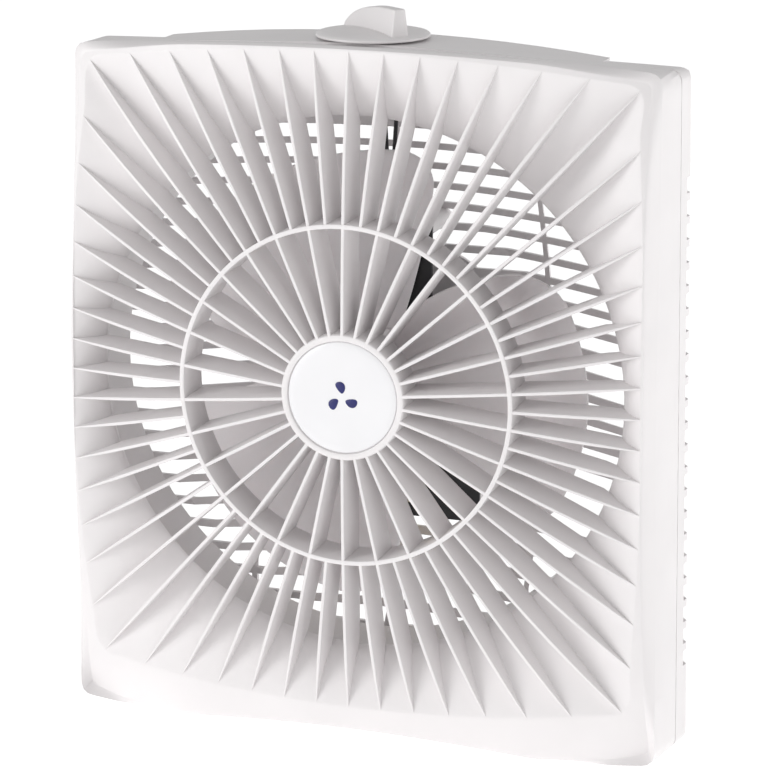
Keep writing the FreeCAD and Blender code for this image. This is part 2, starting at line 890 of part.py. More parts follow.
def shaft_line():
    shaft_length = "stack_front + stack_thickness + shaft_tail - shaft_front"
    turned("motor_shaft", [("shaft_radius", "shaft_front", shaft_length)])
    bore = "shaft_radius + running_gap"
    turned("blade_nut", [("nut_radius", "fan_hub_front - nut_length - 0.1", "nut_length")], bore)
    turned("rotor_core", [("rotor_radius", "stack_front", "stack_thickness")], bore)
    cage = [
        ("cage_radius", "stack_front - cage_ring", "cage_ring"),
        ("cage_radius", "stack_front + stack_thickness", "cage_ring"),
    ]
    rings = [rod(radius, length, "0", start, "0") for radius, start, length in cage]
    cavities = rod("cage_radius - 4", "120", "0", "-10", "0")
    keep(group([cut(ring, cavities) for ring in rings]), "cage_rings")
    washers = []
    for start in ("stack_front - cage_ring - washer_play - washer_thickness",
                  "stack_front + stack_thickness + cage_ring + washer_play"):
        disc = rod("washer_radius", "washer_thickness", "0", start, "0")
        washers.append(cut(disc, rod(bore, "120", "0", "-10", "0")))
    keep(group(washers), "thrust_washers")
    clips = []
    for start in ("fan_hub_rear - fan_boss_recess + clip_play",
                  "stack_front + stack_thickness + shaft_tail - clip_edge - clip_thickness"):
        disc = rod("clip_radius", "clip_thickness", "0", start, "0")
        clips.append(cut(disc, rod(bore, "120", "0", "-10", "0")))
    keep(group(clips), "shaft_clips")


def bearing_frame(label, strap_start, boss_start, boss_length, leg_start, leg_length):
    """A strap across the stack with a bearing boss and two feet that stand on the laminations."""
    strap = block(
        ("-stack_half", strap_start, "-frame_half_height"),
        ("stack_half", f"{strap_start} + frame_strap", "frame_half_height"),
    )
    boss_rod = rod("bearing_radius + 2.6", boss_length, "0", boss_start, "0")
    legs = [
        block(
            (low, leg_start, "-frame_half_height"),
            (f"{low} + frame_leg", f"{leg_start} + {leg_length}", "frame_half_height"),
        )
        for low in ("-stack_half", "stack_half - frame_leg")
    ]
    whole = fuse([strap, boss_rod] + legs)
    holes = [rod("bearing_radius + 0.02", "120", "0", "-10", "0")]
    for side in ("", "-"):
        hole = rod("motor_bolt_radius + screw_clearance", "120", f"{side}motor_bolt_offset", "-10", "0")
        holes.append(hole)
    keep(cut(whole, fuse(holes)), label)


def bearings():
    plate_back = "(plate_depth + plate_thickness)"
    strap_back = f"{plate_back} + frame_strap"
    front_boss = "stack_front - cage_ring - bearing_gap - front_boss_length"
    bearing_frame("front_bearing_frame", plate_back, front_boss, "front_boss_length",
                  f"{strap_back} - 0.1", f"stack_front - {plate_back} - frame_strap + 0.1")
    stack_back = "stack_front + stack_thickness"
    rear_boss = f"{stack_back} + cage_ring + bearing_gap"
    bearing_frame("rear_bearing_frame", f"{stack_back} + strap_gap", rear_boss, "rear_boss_length",
                  stack_back, "strap_gap + 0.1")
    bore = "shaft_radius + running_gap"
    turned("front_bearing",
           [("bearing_radius", f"{front_boss} + front_felt + 0.1", "front_boss_length - front_felt - 0.3")], bore)
    turned("rear_bearing", [("bearing_radius", rear_boss, "rear_boss_length - rear_felt - 0.2")], bore)
    turned("front_oil_felt", [("bearing_radius - 0.2", front_boss, "front_felt")], bore)
    felt_start = f"{rear_boss} + rear_boss_length - rear_felt - 0.1"
    turned("rear_oil_felt", [("bearing_radius - 0.2", felt_start, "rear_felt")], bore)


# Motor ------------------------------------------------------------------------------------------

def shading_box(grow, height_grow):
    """One copper loop round a pole corner, as the space between two boxes."""
    half = f"shading_length / 2 + {grow}"
    thick = f"shading_size / 2 + {grow}"
    item = doc.addObject("Part::Box", "ShadingBox")
    bind(item, "Length", f"2 * ({half})")
    bind(item, "Width", f"stack_thickness + 2 * ({height_grow})")
    bind(item, "Height", f"2 * ({thick})")
    return item


def shading_loop(angle, grow):
    outside = shading_box(grow, f"shading_size + {grow}")
    inside = doc.addObject("Part::Box", "ShadingCore")
    bind(inside, "Length", f"shading_length - 2 * shading_size - 2 * {grow}")
    bind(inside, "Width", f"stack_thickness - 2 * {grow}")
    bind(inside, "Height", "10")
    place(inside, (f"shading_size + 2 * {grow}", f"shading_size + 2 * {grow}", "-4"))
    loop = cut(outside, inside, "ShadingLoop")
    turn = Rotation(Vector(0, 1, 0), 90 - angle)
    half = f"(shading_length / 2 + {grow})"
    thick = f"(shading_size / 2 + {grow})"
    cosine = math.cos(math.radians(angle))
    sine = math.sin(math.radians(angle))
    # The loop's middle lies on the pole's diagonal and its length runs across it.
    x = f"(shading_offset - {thick}) * {cosine:.6f} - {half} * {sine:.6f}"
    z = f"(shading_offset - {thick}) * {sine:.6f} + {half} * {cosine:.6f}"
    place(loop, (x, at_depth(f"stack_front - shading_size - {grow}"), on_axis(z)), turn)
    return loop


def stator():
    """C-frame laminations: pole block with its bore, two legs and the core bar under the coil."""
    body, sketch = new_body("stator_stack", "XZ_Plane")
    sketch_polygon(sketch, rectangle("-stack_half", "stack_half", "-stack_base", "stack_top"))
    sketch_polygon(sketch, rectangle("-leg_inner", "leg_inner", "core_height - stack_base", "-stack_pole_base"))
    sketch_circle(sketch, "rotor_radius + air_gap")
    for side in ("", "-"):
        sketch_circle(sketch, "motor_bolt_radius + screw_clearance", (f"{side}motor_bolt_offset", "0"))
    pad(body, sketch, "stack_thickness")
    place(body, ("0", at_depth("stack_front"), on_axis()))
    nodes.remove(body)
    body.Label = "laminations"
    grooves = group([shading_loop(angle, "0.05") for angle in (45, 225)], "ShadingGrooves")
    keep(cut(body, grooves, "StatorStack"), "stator_stack")
    keep(group([shading_loop(angle, "0") for angle in (45, 225)]), "shading_rings")


def coil_sleeve(inner, outer, half, name):
    """A square sleeve round the core bar: inner and outer are its build over the bar."""
    def shell_block(build, length):
        return block(
            (f"-({length})", f"stack_front - ({build})", f"-stack_base - ({build})"),
            (f"{length}", f"stack_front + stack_thickness + ({build})", f"core_height - stack_base + ({build})"),
        )
    return cut(shell_block(outer, half), shell_block(inner, f"{half} + 1"), name)


def coil():
    gap = "0.1"
    wall = f"{gap} + bobbin_wall"
    full = f"{wall} + coil_build"
    sleeve = coil_sleeve(gap, wall, "bobbin_half", "BobbinSleeve")
    flanges = []
    for low in ("-bobbin_half - flange_thickness", "bobbin_half"):
        outer = block(
            (low, f"stack_front - ({full})", f"-stack_base - ({full})"),
            (f"{low} + flange_thickness", f"stack_front + stack_thickness + ({full})",
             f"core_height - stack_base + ({full})"),
        )
        hole = block(
            (f"{low} - 1", f"stack_front - {gap}", f"-stack_base - {gap}"),
            (f"{low} + flange_thickness + 1", f"stack_front + stack_thickness + {gap}",
             f"core_height - stack_base + {gap}"),
        )
        flanges.append(cut(outer, hole, "Flange"))
    keep(fuse([sleeve] + flanges), "coil_bobbin")
    wound = f"{full} - 1.2"
    keep(coil_sleeve(f"{wall} + 0.02", wound, "bobbin_half - 0.1", "Winding"), "coil_winding")
    keep(coil_sleeve(f"{wound} + 0.02", f"{wound} + tape_thickness", "bobbin_half - 0.1", "Tape"), "winding_tape")
    fuse_body = doc.addObject("Part::Cylinder", "Fuse")
    bind(fuse_body, "Radius", "fuse_radius")
    bind(fuse_body, "Height", "fuse_length")
    under = f"-stack_base - ({wound}) - tape_thickness - fuse_radius - 0.05"
    place(fuse_body, ("-fuse_length / 2", at_depth("stack_front + stack_thickness / 2"), on_axis(under)),
          Rotation(Vector(0, 1, 0), 90))
    keep(fuse_body, "thermal_fuse")


def motor_fasteners():
    bolts = []
    nuts = []
    stack_back = "stack_front + stack_thickness"
    head_start = f"{stack_back} + strap_gap + frame_strap"
    nut_start = "plate_depth - motor_nut_length"
    for side in ("", "-"):
        x = f"{side}motor_bolt_offset"
        shank = rod("motor_bolt_radius", f"{head_start} - ({nut_start}) + 0.5", x, nut_start, "0")
        head = rod("motor_nut_radius", "2", x, head_start, "0")
        bolts.append(fuse([shank, head], "MotorBolt"))
        nut = rod("motor_nut_radius", "motor_nut_length", x, nut_start, "0")
        hole = rod("motor_bolt_radius + running_gap", "20", x, "plate_depth - 10", "0")
        nuts.append(cut(nut, hole, "MotorNut"))
    keep(group(bolts), "motor_bolts")
    keep(group(nuts), "motor_nuts")


def motor_bracket():
    """Pressed steel strap: narrow above the motor, wide below, with a window for the coil."""
    body, sketch = new_body("motor_bracket", "XZ_Plane")
    sketch_polygon(sketch, [
        ("-plate_half", "plate_top"), ("plate_half", "plate_top"),
        ("plate_half", "plate_shoulder + 8"), ("plate_waist_half", "plate_shoulder"),
        ("plate_waist_half", "-plate_foot_top + 8"), ("plate_foot_half", "-plate_foot_top"),
        ("plate_foot_half", "-plate_base"), ("-plate_foot_half", "-plate_base"),
        ("-plate_foot_half", "-plate_foot_top"), ("-plate_waist_half", "-plate_foot_top + 8"),
        ("-plate_waist_half", "plate_shoulder"), ("-plate_half", "plate_shoulder + 8"),
    ])
    sketch_polygon(sketch, rectangle(
        "-plate_window_half", "plate_window_half", "-plate_window_base", "-plate_window_top"))
    sketch_circle(sketch, "plate_hole")
    for side in ("", "-"):
        sketch_circle(sketch, "motor_bolt_radius + screw_clearance", (f"{side}motor_bolt_offset", "0"))
        sketch_circle(sketch, "strap_screw_radius + screw_clearance", (f"{side}post_top_half", "post_top"))
        sketch_circle(sketch, "strap_screw_radius + screw_clearance", (f"{side}post_base_half", "-post_base"))
    pad(body, sketch, "plate_thickness")
    place(body, ("0", at_depth("plate_depth"), on_axis()))


def bracket_screws():
    screws = []
    for side in ("", "-"):
        for x, height in ((f"{side}post_top_half", "post_top"), (f"{side}post_base_half", "-post_base")):
            shank = rod("strap_screw_radius", "strap_screw_length", x, "plate_depth - 0.1", height)
            head = rod("strap_screw_head", "strap_screw_head_height", x,
                       "plate_depth - strap_screw_head_height", height)
            screws.append(fuse([shank, head], "StrapScrew"))
    keep(group(screws), "bracket_screws")


# Speed switch -----------------------------------------------------------------------------------

def switch():
    deck = "axis_height + deck_rise"
    under_deck = f"{deck} - shell_wall - 0.1"
    body = upright("switch_radius", "switch_height", "0", "switch_depth", f"{under_deck} - switch_height")
    well = upright("switch_shaft_radius + running_gap", "30", "0", "switch_depth", f"{under_deck} - 8")
    keep(cut(body, well, "SwitchBody"), "switch_body")
    neck = upright("bush_radius", "bush_length - 0.1", "0", "switch_depth", f"{under_deck} + 0.05")
    keep(cut(neck, upright("switch_shaft_radius + running_gap", "30", "0", "switch_depth",
                           f"{under_deck} - 8"), "Bush"), "switch_bush")
    hole = "bush_radius + running_gap"
    washer = upright("switch_nut_radius + 0.8", "switch_washer_height", "0", "switch_depth", deck)
    keep(cut(washer, upright(hole, "30", "0", "switch_depth", f"{deck} - 10"), "Washer"), "switch_washer")
    nut = doc.addObject("Part::Prism", "Nut")
    nut.Polygon = 6
    bind(nut, "Circumradius", "switch_nut_radius")
    bind(nut, "Height", "switch_nut_height")
    place(nut, ("0", at_depth("switch_depth"), f"{deck} + switch_washer_height"))
    keep(cut(nut, upright(hole, "30", "0", "switch_depth", f"{deck} - 10"), "SwitchNut"), "switch_nut")
    terminals = []
    for number in range(4):
        item = doc.addObject("Part::Box", "Terminal")
        bind(item, "Length", "terminal_width")
        bind(item, "Width", "terminal_reach - 12.1")
        bind(item, "Height", "terminal_height")
        x = f"({number} - 1.5) * terminal_pitch - terminal_width / 2"
        place(item, (x, at_depth("switch_depth + 12.1"), f"{under_deck} - switch_height + 3"))
        terminals.append(item)
    keep(group(terminals), "switch_terminals")
    stem = upright("switch_shaft_radius", "7.6 + shell_wall + switch_shaft_rise", "0", "switch_depth",
                   f"{under_deck} - 7.5")
    keep(stem, "switch_shaft")


def speed_knob():
    """Domed skirt with a finger grip that is tall at its pointing end and runs down to the skirt."""
    base = deck_top() + size("knob_gap")
    y = depth_y(size("switch_depth"))
    radius = size("knob_radius")
    skirt = size("knob_skirt")
    crown = base + size("knob_dome")

    def at(r, z):
        return Vector(r, y, z)

    profile = Part.Wire([
        Part.makeLine(at(0, base), at(radius, base)),
        Part.makeLine(at(radius, base), at(radius - 0.4, base + skirt)),
        Part.Arc(at(radius - 0.4, base + skirt),
                 at(radius * 0.62, base + skirt + (crown - base - skirt) * 0.68), at(0, crown)).toShape(),
        Part.makeLine(at(0, crown), at(0, base)),
    ])
    knob = Part.Face(profile).revolve(at(0, base), Vector(0, 0, 1), 360)
    top = base + size("grip_height")
    front = size("grip_front")
    rear = size("grip_rear")
    half = size("grip_thickness") / 2

    def side(u, z):
        return Vector(u, -half, z)

    grip_profile = Part.Wire([
        Part.makeLine(side(-rear, base + 1), side(front, base + 1)),
        Part.makeLine(side(front, base + 1), side(front, top)),
        Part.makeLine(side(front, top), side(front * 0.2, top)),
        Part.Arc(side(front * 0.2, top), side(-rear * 0.52, base + (top - base) * 0.72),
                 side(-rear, base + 1)).toShape(),
    ])
    grip = Part.Face(grip_profile).extrude(Vector(0, 2 * half, 0))
    grip.rotate(Vector(), Vector(0, 0, 1), size("grip_azimuth"))
    grip.translate(Vector(0, y, 0))
    knob = knob.fuse(grip)
    rebate = Part.makeCylinder(size("knob_rebate_radius"), size("knob_rebate") + 1, at(0, base - 1))
    pocket = Part.makeCylinder(size("knob_pocket_radius"), size("knob_pocket") + 1, at(0, base - 1))
    bore = size("switch_shaft_radius") + size("running_gap")
    socket = Part.makeCylinder(bore, size("switch_shaft_rise") + 1.5, at(0, base - 1))
    knob = knob.cut(rebate).cut(pocket).cut(socket)
    return solid_feature(knob.removeSplitter(), "speed_knob")


# Wires ------------------------------------------------------------------------------------------

def wire(points, radius):
    """A round wire along straight runs joined by arcs."""
    edges = []
    start = points[0]
    for before, corner, after in zip(points, points[1:], points[2:]):
        incoming = (corner - before).normalize()
        outgoing = (after - corner).normalize()
        turn = incoming.getAngle(outgoing)
        room = 0.45 * min((corner - before).Length, (after - corner).Length)
        reach = min(room, size("wire_bend") * math.tan(turn / 2))
        first = corner - incoming * reach
        last = corner + outgoing * reach
        inward = (outgoing - incoming).normalize()
        bend = reach / math.tan(turn / 2)
        centre = corner + inward * (bend / math.cos(turn / 2))
        edges.append(Part.makeLine(start, first))
        edges.append(Part.Arc(first, centre - inward * bend, last).toShape())
        start = last
    edges.append(Part.makeLine(start, points[-1]))
    path = Part.Wire(edges)
    section = Part.Wire(Part.makeCircle(radius, points[0], (points[1] - points[0])))
    return path.makePipeShell([section], True, False)


def motor_leads():
    """Three speed leads from the coil, up the back of the casing, to the switch's terminals."""
    axis = size("axis_height")
    stack_back = size("stack_front") + size("stack_thickness")
    terminal = deck_top() - size("shell_wall") - 0.1 - size("switch_height") + 3
    start_x = size("bobbin_half") + size("flange_thickness") + 0.5
    leads = []
    for number in range(3):
        shift = number * size("wire_pitch")
        end_x = (number - 0.5) * size("terminal_pitch")
        route = [
            (start_x, stack_back + 3.5, axis - 42 + shift),
            (34 + shift, stack_back + 1, axis - 40 + shift),
            (37 + shift, stack_back - 2, axis - 4),
            (28 + shift, stack_back - 5, axis + 34),
            (-2 + shift, stack_back - 12, axis + 56),
            (-1 + shift, stack_back - 20, axis + 86),
            (end_x + 4, size("throat_end_depth") + 3.6, axis + 108),
            (end_x, size("switch_depth") + size("terminal_reach") - 1.4, terminal - 0.4),
        ]
        points = [Vector(x, depth_y(d), z) for x, d, z in route]
        leads.append(wire(points, size("wire_radius")))
    return solid_feature(Part.makeCompound(leads), "motor_leads")


def check_model():
    for item in doc.Objects:
        if "Invalid" in item.State or "Error" in item.State:
            raise RuntimeError(f"{item.Label} did not build: {item.State}")
    for item in nodes:
        if item.Shape.isNull() or not item.Shape.isValid():
            raise RuntimeError(f"{item.Label} has no valid shape")


def main():
    fill_sheet()
    front_shell()
    rear_shell()
    shell_screws()
    foot_pads()
    hub_badge()
    fan_blades()
    shaft_line()
    bearings()
    stator()
    coil()
    motor_fasteners()
    motor_bracket()
    bracket_screws()
    switch()
    speed_knob()
    motor_leads()
    doc.recompute()
    check_model()
    os.makedirs("parts", exist_ok=True)
    for item in nodes:
        item.Shape.exportStep(f"parts/{item.Label}.step")
        print(item.Label, len(item.Shape.Solids), round(item.Shape.Volume))


main()
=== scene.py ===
import json
import math

import bmesh
import bpy
import numpy as np
from bpy.props import FloatProperty, FloatVectorProperty, IntProperty, PointerProperty
from mathutils import Matrix, Vector


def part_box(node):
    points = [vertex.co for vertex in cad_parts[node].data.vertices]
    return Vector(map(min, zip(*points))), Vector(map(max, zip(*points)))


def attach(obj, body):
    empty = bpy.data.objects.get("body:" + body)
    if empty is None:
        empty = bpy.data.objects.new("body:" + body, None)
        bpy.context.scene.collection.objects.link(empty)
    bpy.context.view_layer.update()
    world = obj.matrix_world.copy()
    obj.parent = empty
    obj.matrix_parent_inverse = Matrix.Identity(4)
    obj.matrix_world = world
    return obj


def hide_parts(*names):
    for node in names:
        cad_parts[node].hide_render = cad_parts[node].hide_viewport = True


bl_info = {
    "name": "Box Fan",
    "version": (1, 0, 0),
    "blender": (4, 5, 0),
    "location": "3D View > Sidebar > Box Fan",
    "description": "Builds the finished look of a small box fan round its CAD frame",
    "category": "Add Mesh",
}

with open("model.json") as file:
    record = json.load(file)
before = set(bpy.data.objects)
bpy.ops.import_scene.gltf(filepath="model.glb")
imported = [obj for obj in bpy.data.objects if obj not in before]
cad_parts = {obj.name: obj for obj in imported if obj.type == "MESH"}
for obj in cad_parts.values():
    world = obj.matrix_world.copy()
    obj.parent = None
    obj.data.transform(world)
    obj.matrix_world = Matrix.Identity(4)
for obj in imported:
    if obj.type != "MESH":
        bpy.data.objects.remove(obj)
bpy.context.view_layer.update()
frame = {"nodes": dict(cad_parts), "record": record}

FRONT_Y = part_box("front_shell")[0].y
AXIS_Z = (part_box("motor_shaft")[0].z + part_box("motor_shaft")[1].z) / 2
DECK_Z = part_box("switch_washer")[0].z
KNOB_Y = (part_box("switch_nut")[0].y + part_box("switch_nut")[1].y) / 2
KNOB_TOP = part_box("speed_knob")[1].z


# Sizes and colours ------------------------------------------------------------------------------

def length(name, text, default):
    return FloatProperty(name=name, description=text, default=default, unit="LENGTH", precision=5)


def turn(name, text, degrees):
    return FloatProperty(name=name, description=text, default=math.radians(degrees), unit="ROTATION")


def colour(name, text, default):
    return FloatVectorProperty(name=name, description=text, default=default, subtype="COLOR", min=0, max=1)


class CasingSizes(bpy.types.PropertyGroup):
    half_width: length("Half width", "Half the width of the front at its top corners", 0.125)
    corner_rise: length("Corner rise", "Top corners above the fan's axis", 0.1365)
    spread: length("Spread", "How much further out the base corners are", 0.0044)
    arch: length("Crown", "Rise of the top edge at its middle", 0.006)
    rear_flare: length("Rear flare", "How much wider the rear edge is at the top", 0.004)
    rear_spread: length("Rear spread", "How much further out the rear base corners are", 0.0062)
    rear_drop: length("Rear drop", "How much lower the rear top corners are", 0.002)
    wall: length("Wall", "Thickness of the shell", 0.0022)
    front_edge: length("Front edge", "Depth of the widest line round the front", 0.0175)
    rear_edge: length("Rear edge", "Depth of the rear edge of the sides", 0.054)
    top_bevel: length("Top bevel", "Width of the edge bevel along the top and base", 0.0009)
    side_bevel: length("Side bevel", "Width of the edge bevel down the sides", 0.0042)
    parting: length("Parting line", "Depth of the joint between the two shells", 0.043)
    corner_round: length("Corner radius", "Rounding of the long corners", 0.005)
    foot_inner: length("Foot inside", "Inner end of the flat of each foot", 0.078)
    foot_outer: length("Foot outside", "Outer end of the flat of each foot", 0.110)
    foot_lift: length("Foot lift", "Height of the moulded feet over the floor", 0.0008)
    base_arch: length("Base arch", "Rise of the arch between the feet", 0.0057)


class GuardSizes(bpy.types.PropertyGroup):
    throat: length("Throat radius", "Radius of the throat the blades turn in", 0.1135)
    throat_end: length("Throat end", "Depth of the throat's rear end", 0.046)
    lip: length("Lip depth", "Depth of the bell mouth's lip", 0.0208)
    ring: length("Ring radius", "Radius of the ring in the guard", 0.071)
    ring_wall: length("Ring wall", "Thickness of the ring", 0.0019)
    hub: length("Hub radius", "Radius of the guard's hub", 0.0266)
    hub_depth: length("Hub depth", "Depth of the hub's cup", 0.017)
    rib_width: length("Rib width", "Width of a rib's front edge", 0.00135)
    rib_back: length("Rib back", "Depth of the ribs' back edges", 0.0205)
    outer_ribs: IntProperty(name="Outer ribs", description="Ribs outside the ring", default=60, min=3)
    inner_ribs: IntProperty(name="Inner ribs", description="Ribs inside the ring", default=30, min=3)
    badge: length("Badge radius", "Radius of the blank badge", 0.0234)
    badge_recess: length("Badge recess", "Depth of the recess that holds the badge", 0.0013)


class RotorSizes(bpy.types.PropertyGroup):
    blades: IntProperty(name="Blades", description="Number of blades", default=3, min=2)
    phase: turn("Phase", "Angle of the first blade", 127.3)
    radius: length("Blade radius", "Radius of the blade tips", 0.094)
    middle: length("Blade depth", "Depth of the middle of the blades", 0.0395)
    rise: length("Blade rise", "Half the depth from edge to edge", 0.013)
    thickness: length("Blade thickness", "Thickness of a blade", 0.0018)
    corner: length("Tip rounding", "Radius of the tip corners", 0.013)
    hub: length("Hub radius", "Radius of the rotor's hub", 0.018)
    hub_front: length("Hub front", "Depth of the hub's front face", 0.028)
    hub_rear: length("Hub rear", "Depth of the hub's rear edge", 0.052)
    root_angle: turn("Root angle", "Half angle of a blade at the hub", 59)
    tip_angle: turn("Tip angle", "Half angle of a blade at its tip", 38.5)
    sweep: turn("Sweep", "Turn of the tip from the root", -13)


class KnobSizes(bpy.types.PropertyGroup):
    radius: length("Skirt radius", "Radius of the knob's skirt", 0.0235)
    gap: length("Gap", "Gap between the knob and the deck", 0.0006)
    dome: length("Dome", "Height of the domed skirt", 0.0036)
    grip_thickness: length("Grip thickness", "Thickness of the finger grip at its base", 0.0085)
    grip_front: length("Grip front", "Reach of the grip's tall end", 0.020)
    grip_rear: length("Grip rear", "Reach of the grip's low end", 0.017)
    azimuth: turn("Off position", "Direction the grip points in", -38)


class Finishes(bpy.types.PropertyGroup):
    casing: colour("Casing", "White moulded plastic", (0.83, 0.805, 0.808))
    # Painted light: the blade colour is set lighter than the casing's, standing in for light that comes through
    # the thin blades from behind.
    blades: colour("Blades", "Pale grey plastic of the blades", (0.94, 0.89, 0.90))
    badge: colour("Badge", "Glossy white badge", (0.86, 0.855, 0.87))
    emblem: colour("Emblem", "Navy print", (0.012, 0.014, 0.13))


class StageSizes(bpy.types.PropertyGroup):
    azimuth: turn("Azimuth", "Camera's turn to the right", 18.65)
    elevation: turn("Elevation", "Camera's height angle", 15.16)
    roll: turn("Roll", "Camera's roll", 0.17)
    distance: length("Distance", "From the camera to the guard's plane", 1.2046)
    aim_right: length("Aim right", "Aim point right of the axis", 0.0172)
    aim_up: length("Aim up", "Aim point above the axis", 0.0068)
    lens: FloatProperty(name="Focal length", description="Camera lens in millimetres", default=139.03)
    key_power: FloatProperty(name="Key light", description="Power of the left light", default=17, unit="POWER")
    fill_power: FloatProperty(name="Fill light", description="Power of the right light", default=13, unit="POWER")
    floor_glow: FloatProperty(name="Floor glow", description="Light that the floor gives off", default=0.55)
    sky_low: FloatProperty(name="Sky at eye level", description="Brightness at eye level", default=0.61)
    sky_high: FloatProperty(name="Sky overhead", description="Brightness overhead", default=0.49)


# Shared shaping helpers -------------------------------------------------------------------------

def depth_y(depth):
    """The Y of a depth counted back from the guard's foremost face."""
    return FRONT_Y + depth


def polar(radius, angle, depth):
    return Vector((radius * math.cos(angle), depth_y(depth), AXIS_Z + radius * math.sin(angle)))


def deselect():
    if bpy.context.object and bpy.context.object.mode != "OBJECT":
        bpy.ops.object.mode_set(mode="OBJECT")
    bpy.ops.object.select_all(action="DESELECT")


def finish_piece(piece, body, slot, *nodes, smooth=30):
    """Gives a shaped piece its place on a body and hides the CAD nodes it stands for; the slot argument is not
    used.
    """
    bpy.ops.object.select_all(action="DESELECT")
    piece.select_set(True)
    bpy.context.view_layer.objects.active = piece
    bpy.ops.object.transform_apply(location=True, rotation=True, scale=True)
    bpy.ops.object.shade_smooth_by_angle(angle=math.radians(smooth))
    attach(piece, body)
    if nodes:
        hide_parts(*nodes)
    return piece


def place_ring(piece, points):
    """Moves the selected loop's vertices to a ring of points, by the number each vertex carries."""
    mesh = bmesh.from_edit_mesh(piece.data)
    layer = mesh.verts.layers.int["place"]
    for vertex in mesh.verts:
        if vertex.select:
            vertex.co = points[vertex[layer]]
    bmesh.update_edit_mesh(piece.data)


def loft(name, rings, closed=False, cap_start=False, cap_end=False):
    """A skin through rings of points: a circle is added, then extruded and moved ring by ring."""
    deselect()
    count = len(rings[0])
    bpy.ops.mesh.primitive_circle_add(vertices=count, radius=1)
    piece = bpy.context.object
    piece.name = name
    piece.data.name = name
    bpy.ops.object.mode_set(mode="EDIT")
    bpy.ops.mesh.select_mode(type="VERT")
    bpy.ops.mesh.select_all(action="SELECT")
    mesh = bmesh.from_edit_mesh(piece.data)
    layer = mesh.verts.layers.int.new("place")
    mesh.verts.ensure_lookup_table()
    for number, vertex in enumerate(mesh.verts):
        vertex[layer] = number
    place_ring(piece, rings[0])
    if cap_start:
        bpy.ops.mesh.edge_face_add()
        bpy.ops.mesh.select_mode(type="EDGE")
    for ring in rings[1:]:
        bpy.ops.mesh.select_mode(type="EDGE")
        bpy.ops.mesh.extrude_edges_move()
        place_ring(piece, ring)
    if cap_end:
        bpy.ops.mesh.edge_face_add()
    if closed:
        bpy.ops.mesh.select_all(action="DESELECT")
        bpy.ops.mesh.select_non_manifold(extend=False)
        bpy.ops.mesh.bridge_edge_loops()
    bpy.ops.mesh.select_all(action="SELECT")
    bpy.ops.mesh.normals_make_consistent(inside=False)
    bpy.ops.object.mode_set(mode="OBJECT")
    attribute = piece.data.attributes.get("place")
    piece.data.attributes.remove(attribute)
    return piece


def join(pieces, name):
    deselect()
    for piece in pieces:
        piece.select_set(True)
    bpy.context.view_layer.objects.active = pieces[0]
    if len(pieces) > 1:
        bpy.ops.object.join()
    whole = bpy.context.object
    whole.name = name
    whole.data.name = name
    return whole


def add_bevel(piece, width, segments=2, angle=40):
    bpy.context.view_layer.objects.active = piece
    modifier = piece.modifiers.new("Soft edges", "BEVEL")
    modifier.width = width
    modifier.segments = segments
    modifier.limit_method = "ANGLE"
    modifier.angle_limit = math.radians(angle)
    modifier.harden_normals = False
    bpy.ops.object.modifier_apply(modifier=modifier.name)


def lathe(name, profile, steps=96, **caps):
    """A turned piece on the fan's axis from a profile of radius and depth."""
    angles = [2 * math.pi * i / steps for i in range(steps)]
    rings = [[polar(radius, angle, depth) for angle in angles] for radius, depth in profile]
    return loft(name, rings, **caps)


# Outlines ---------------------------------------------------------------------------------------

def rounded_path(corners, radius, steps=6):
    """A closed polyline whose corners are rounded; a corner is (x, z) or (x, z, own radius)."""
    path = []
    count = len(corners)
    for i, corner in enumerate(corners):
        here = np.array(corner[:2])
        r = corner[2] if len(corner) > 2 else radius
        if r <= 0:
            path.append(here)
            continue
        before = np.array(corners[i - 1][:2]) - here
        after = np.array(corners[(i + 1) % count][:2]) - here
        before /= np.linalg.norm(before)
        after /= np.linalg.norm(after)
        half = math.acos(float(np.clip(before @ after, -1, 1))) / 2
        reach = r / math.tan(half)
        middle = before + after
        centre = here + middle / np.linalg.norm(middle) * (r / math.sin(half))
        start = here + before * reach - centre
        stop = here + after * reach - centre
        swing = math.atan2(start[0] * stop[1] - start[1] * stop[0], start @ stop)
        for j in range(steps + 1):
            turn = swing * j / steps
            cosine, sine = math.cos(turn), math.sin(turn)
            spot = (start[0] * cosine - start[1] * sine, start[0] * sine + start[1] * cosine)
            path.append(centre + np.array(spot))
    return path


def radius_table(path):
    """Turns a closed outline round the axis into a function from an angle to a radius."""
    dense = []
    for a, b in zip(path, path[1:] + path[:1]):
        for share in np.linspace(0, 1, 24, endpoint=False):
            dense.append(a + (b - a) * share)
    dense = np.array(dense)
    angles = np.arctan2(dense[:, 1], dense[:, 0])
    order = np.argsort(angles)
    angles = angles[order]
    radii = np.hypot(dense[:, 0], dense[:, 1])[order]
    return lambda angle: float(np.interp(angle, angles, radii, period=2 * math.pi))


def casing_outline(sizes, depth, inset=0.0):
    """The casing's outline round the axis at a depth, as corners that run anticlockwise."""
    share = (depth - sizes.front_edge) / (sizes.rear_edge - sizes.front_edge)
    share = min(max(share, 0.0), 1.0)
    half_top = sizes.half_width + share * sizes.rear_flare - inset
    half_base = half_top + sizes.spread + share * (sizes.rear_spread - sizes.spread)
    top = sizes.corner_rise - share * sizes.rear_drop - inset
    arch = sizes.arch * (1 - share) + 0.002 * share
    floor = sizes.foot_lift + inset - AXIS_Z
    corner = 0.0022
    r = max(sizes.corner_round - inset, 0.001)
    crown = [(half_top * x, top + arch * (1 - x * x), 0) for x in np.linspace(0.9, -0.9, 19)]
    hollow = [
        (sizes.foot_inner * x, floor + sizes.base_arch * (1 - x * x), 0)
        for x in np.linspace(-0.9, 0.9, 13)
    ]
    right = [(sizes.foot_inner, floor, 0.02), (sizes.foot_outer, floor, 0.03), (half_base, floor + corner, r)]
    left = [(-x, z, own) for x, z, own in reversed(right)]
    return [(half_top, top, r)] + crown + [(-half_top, top, r)] + left + hollow + right


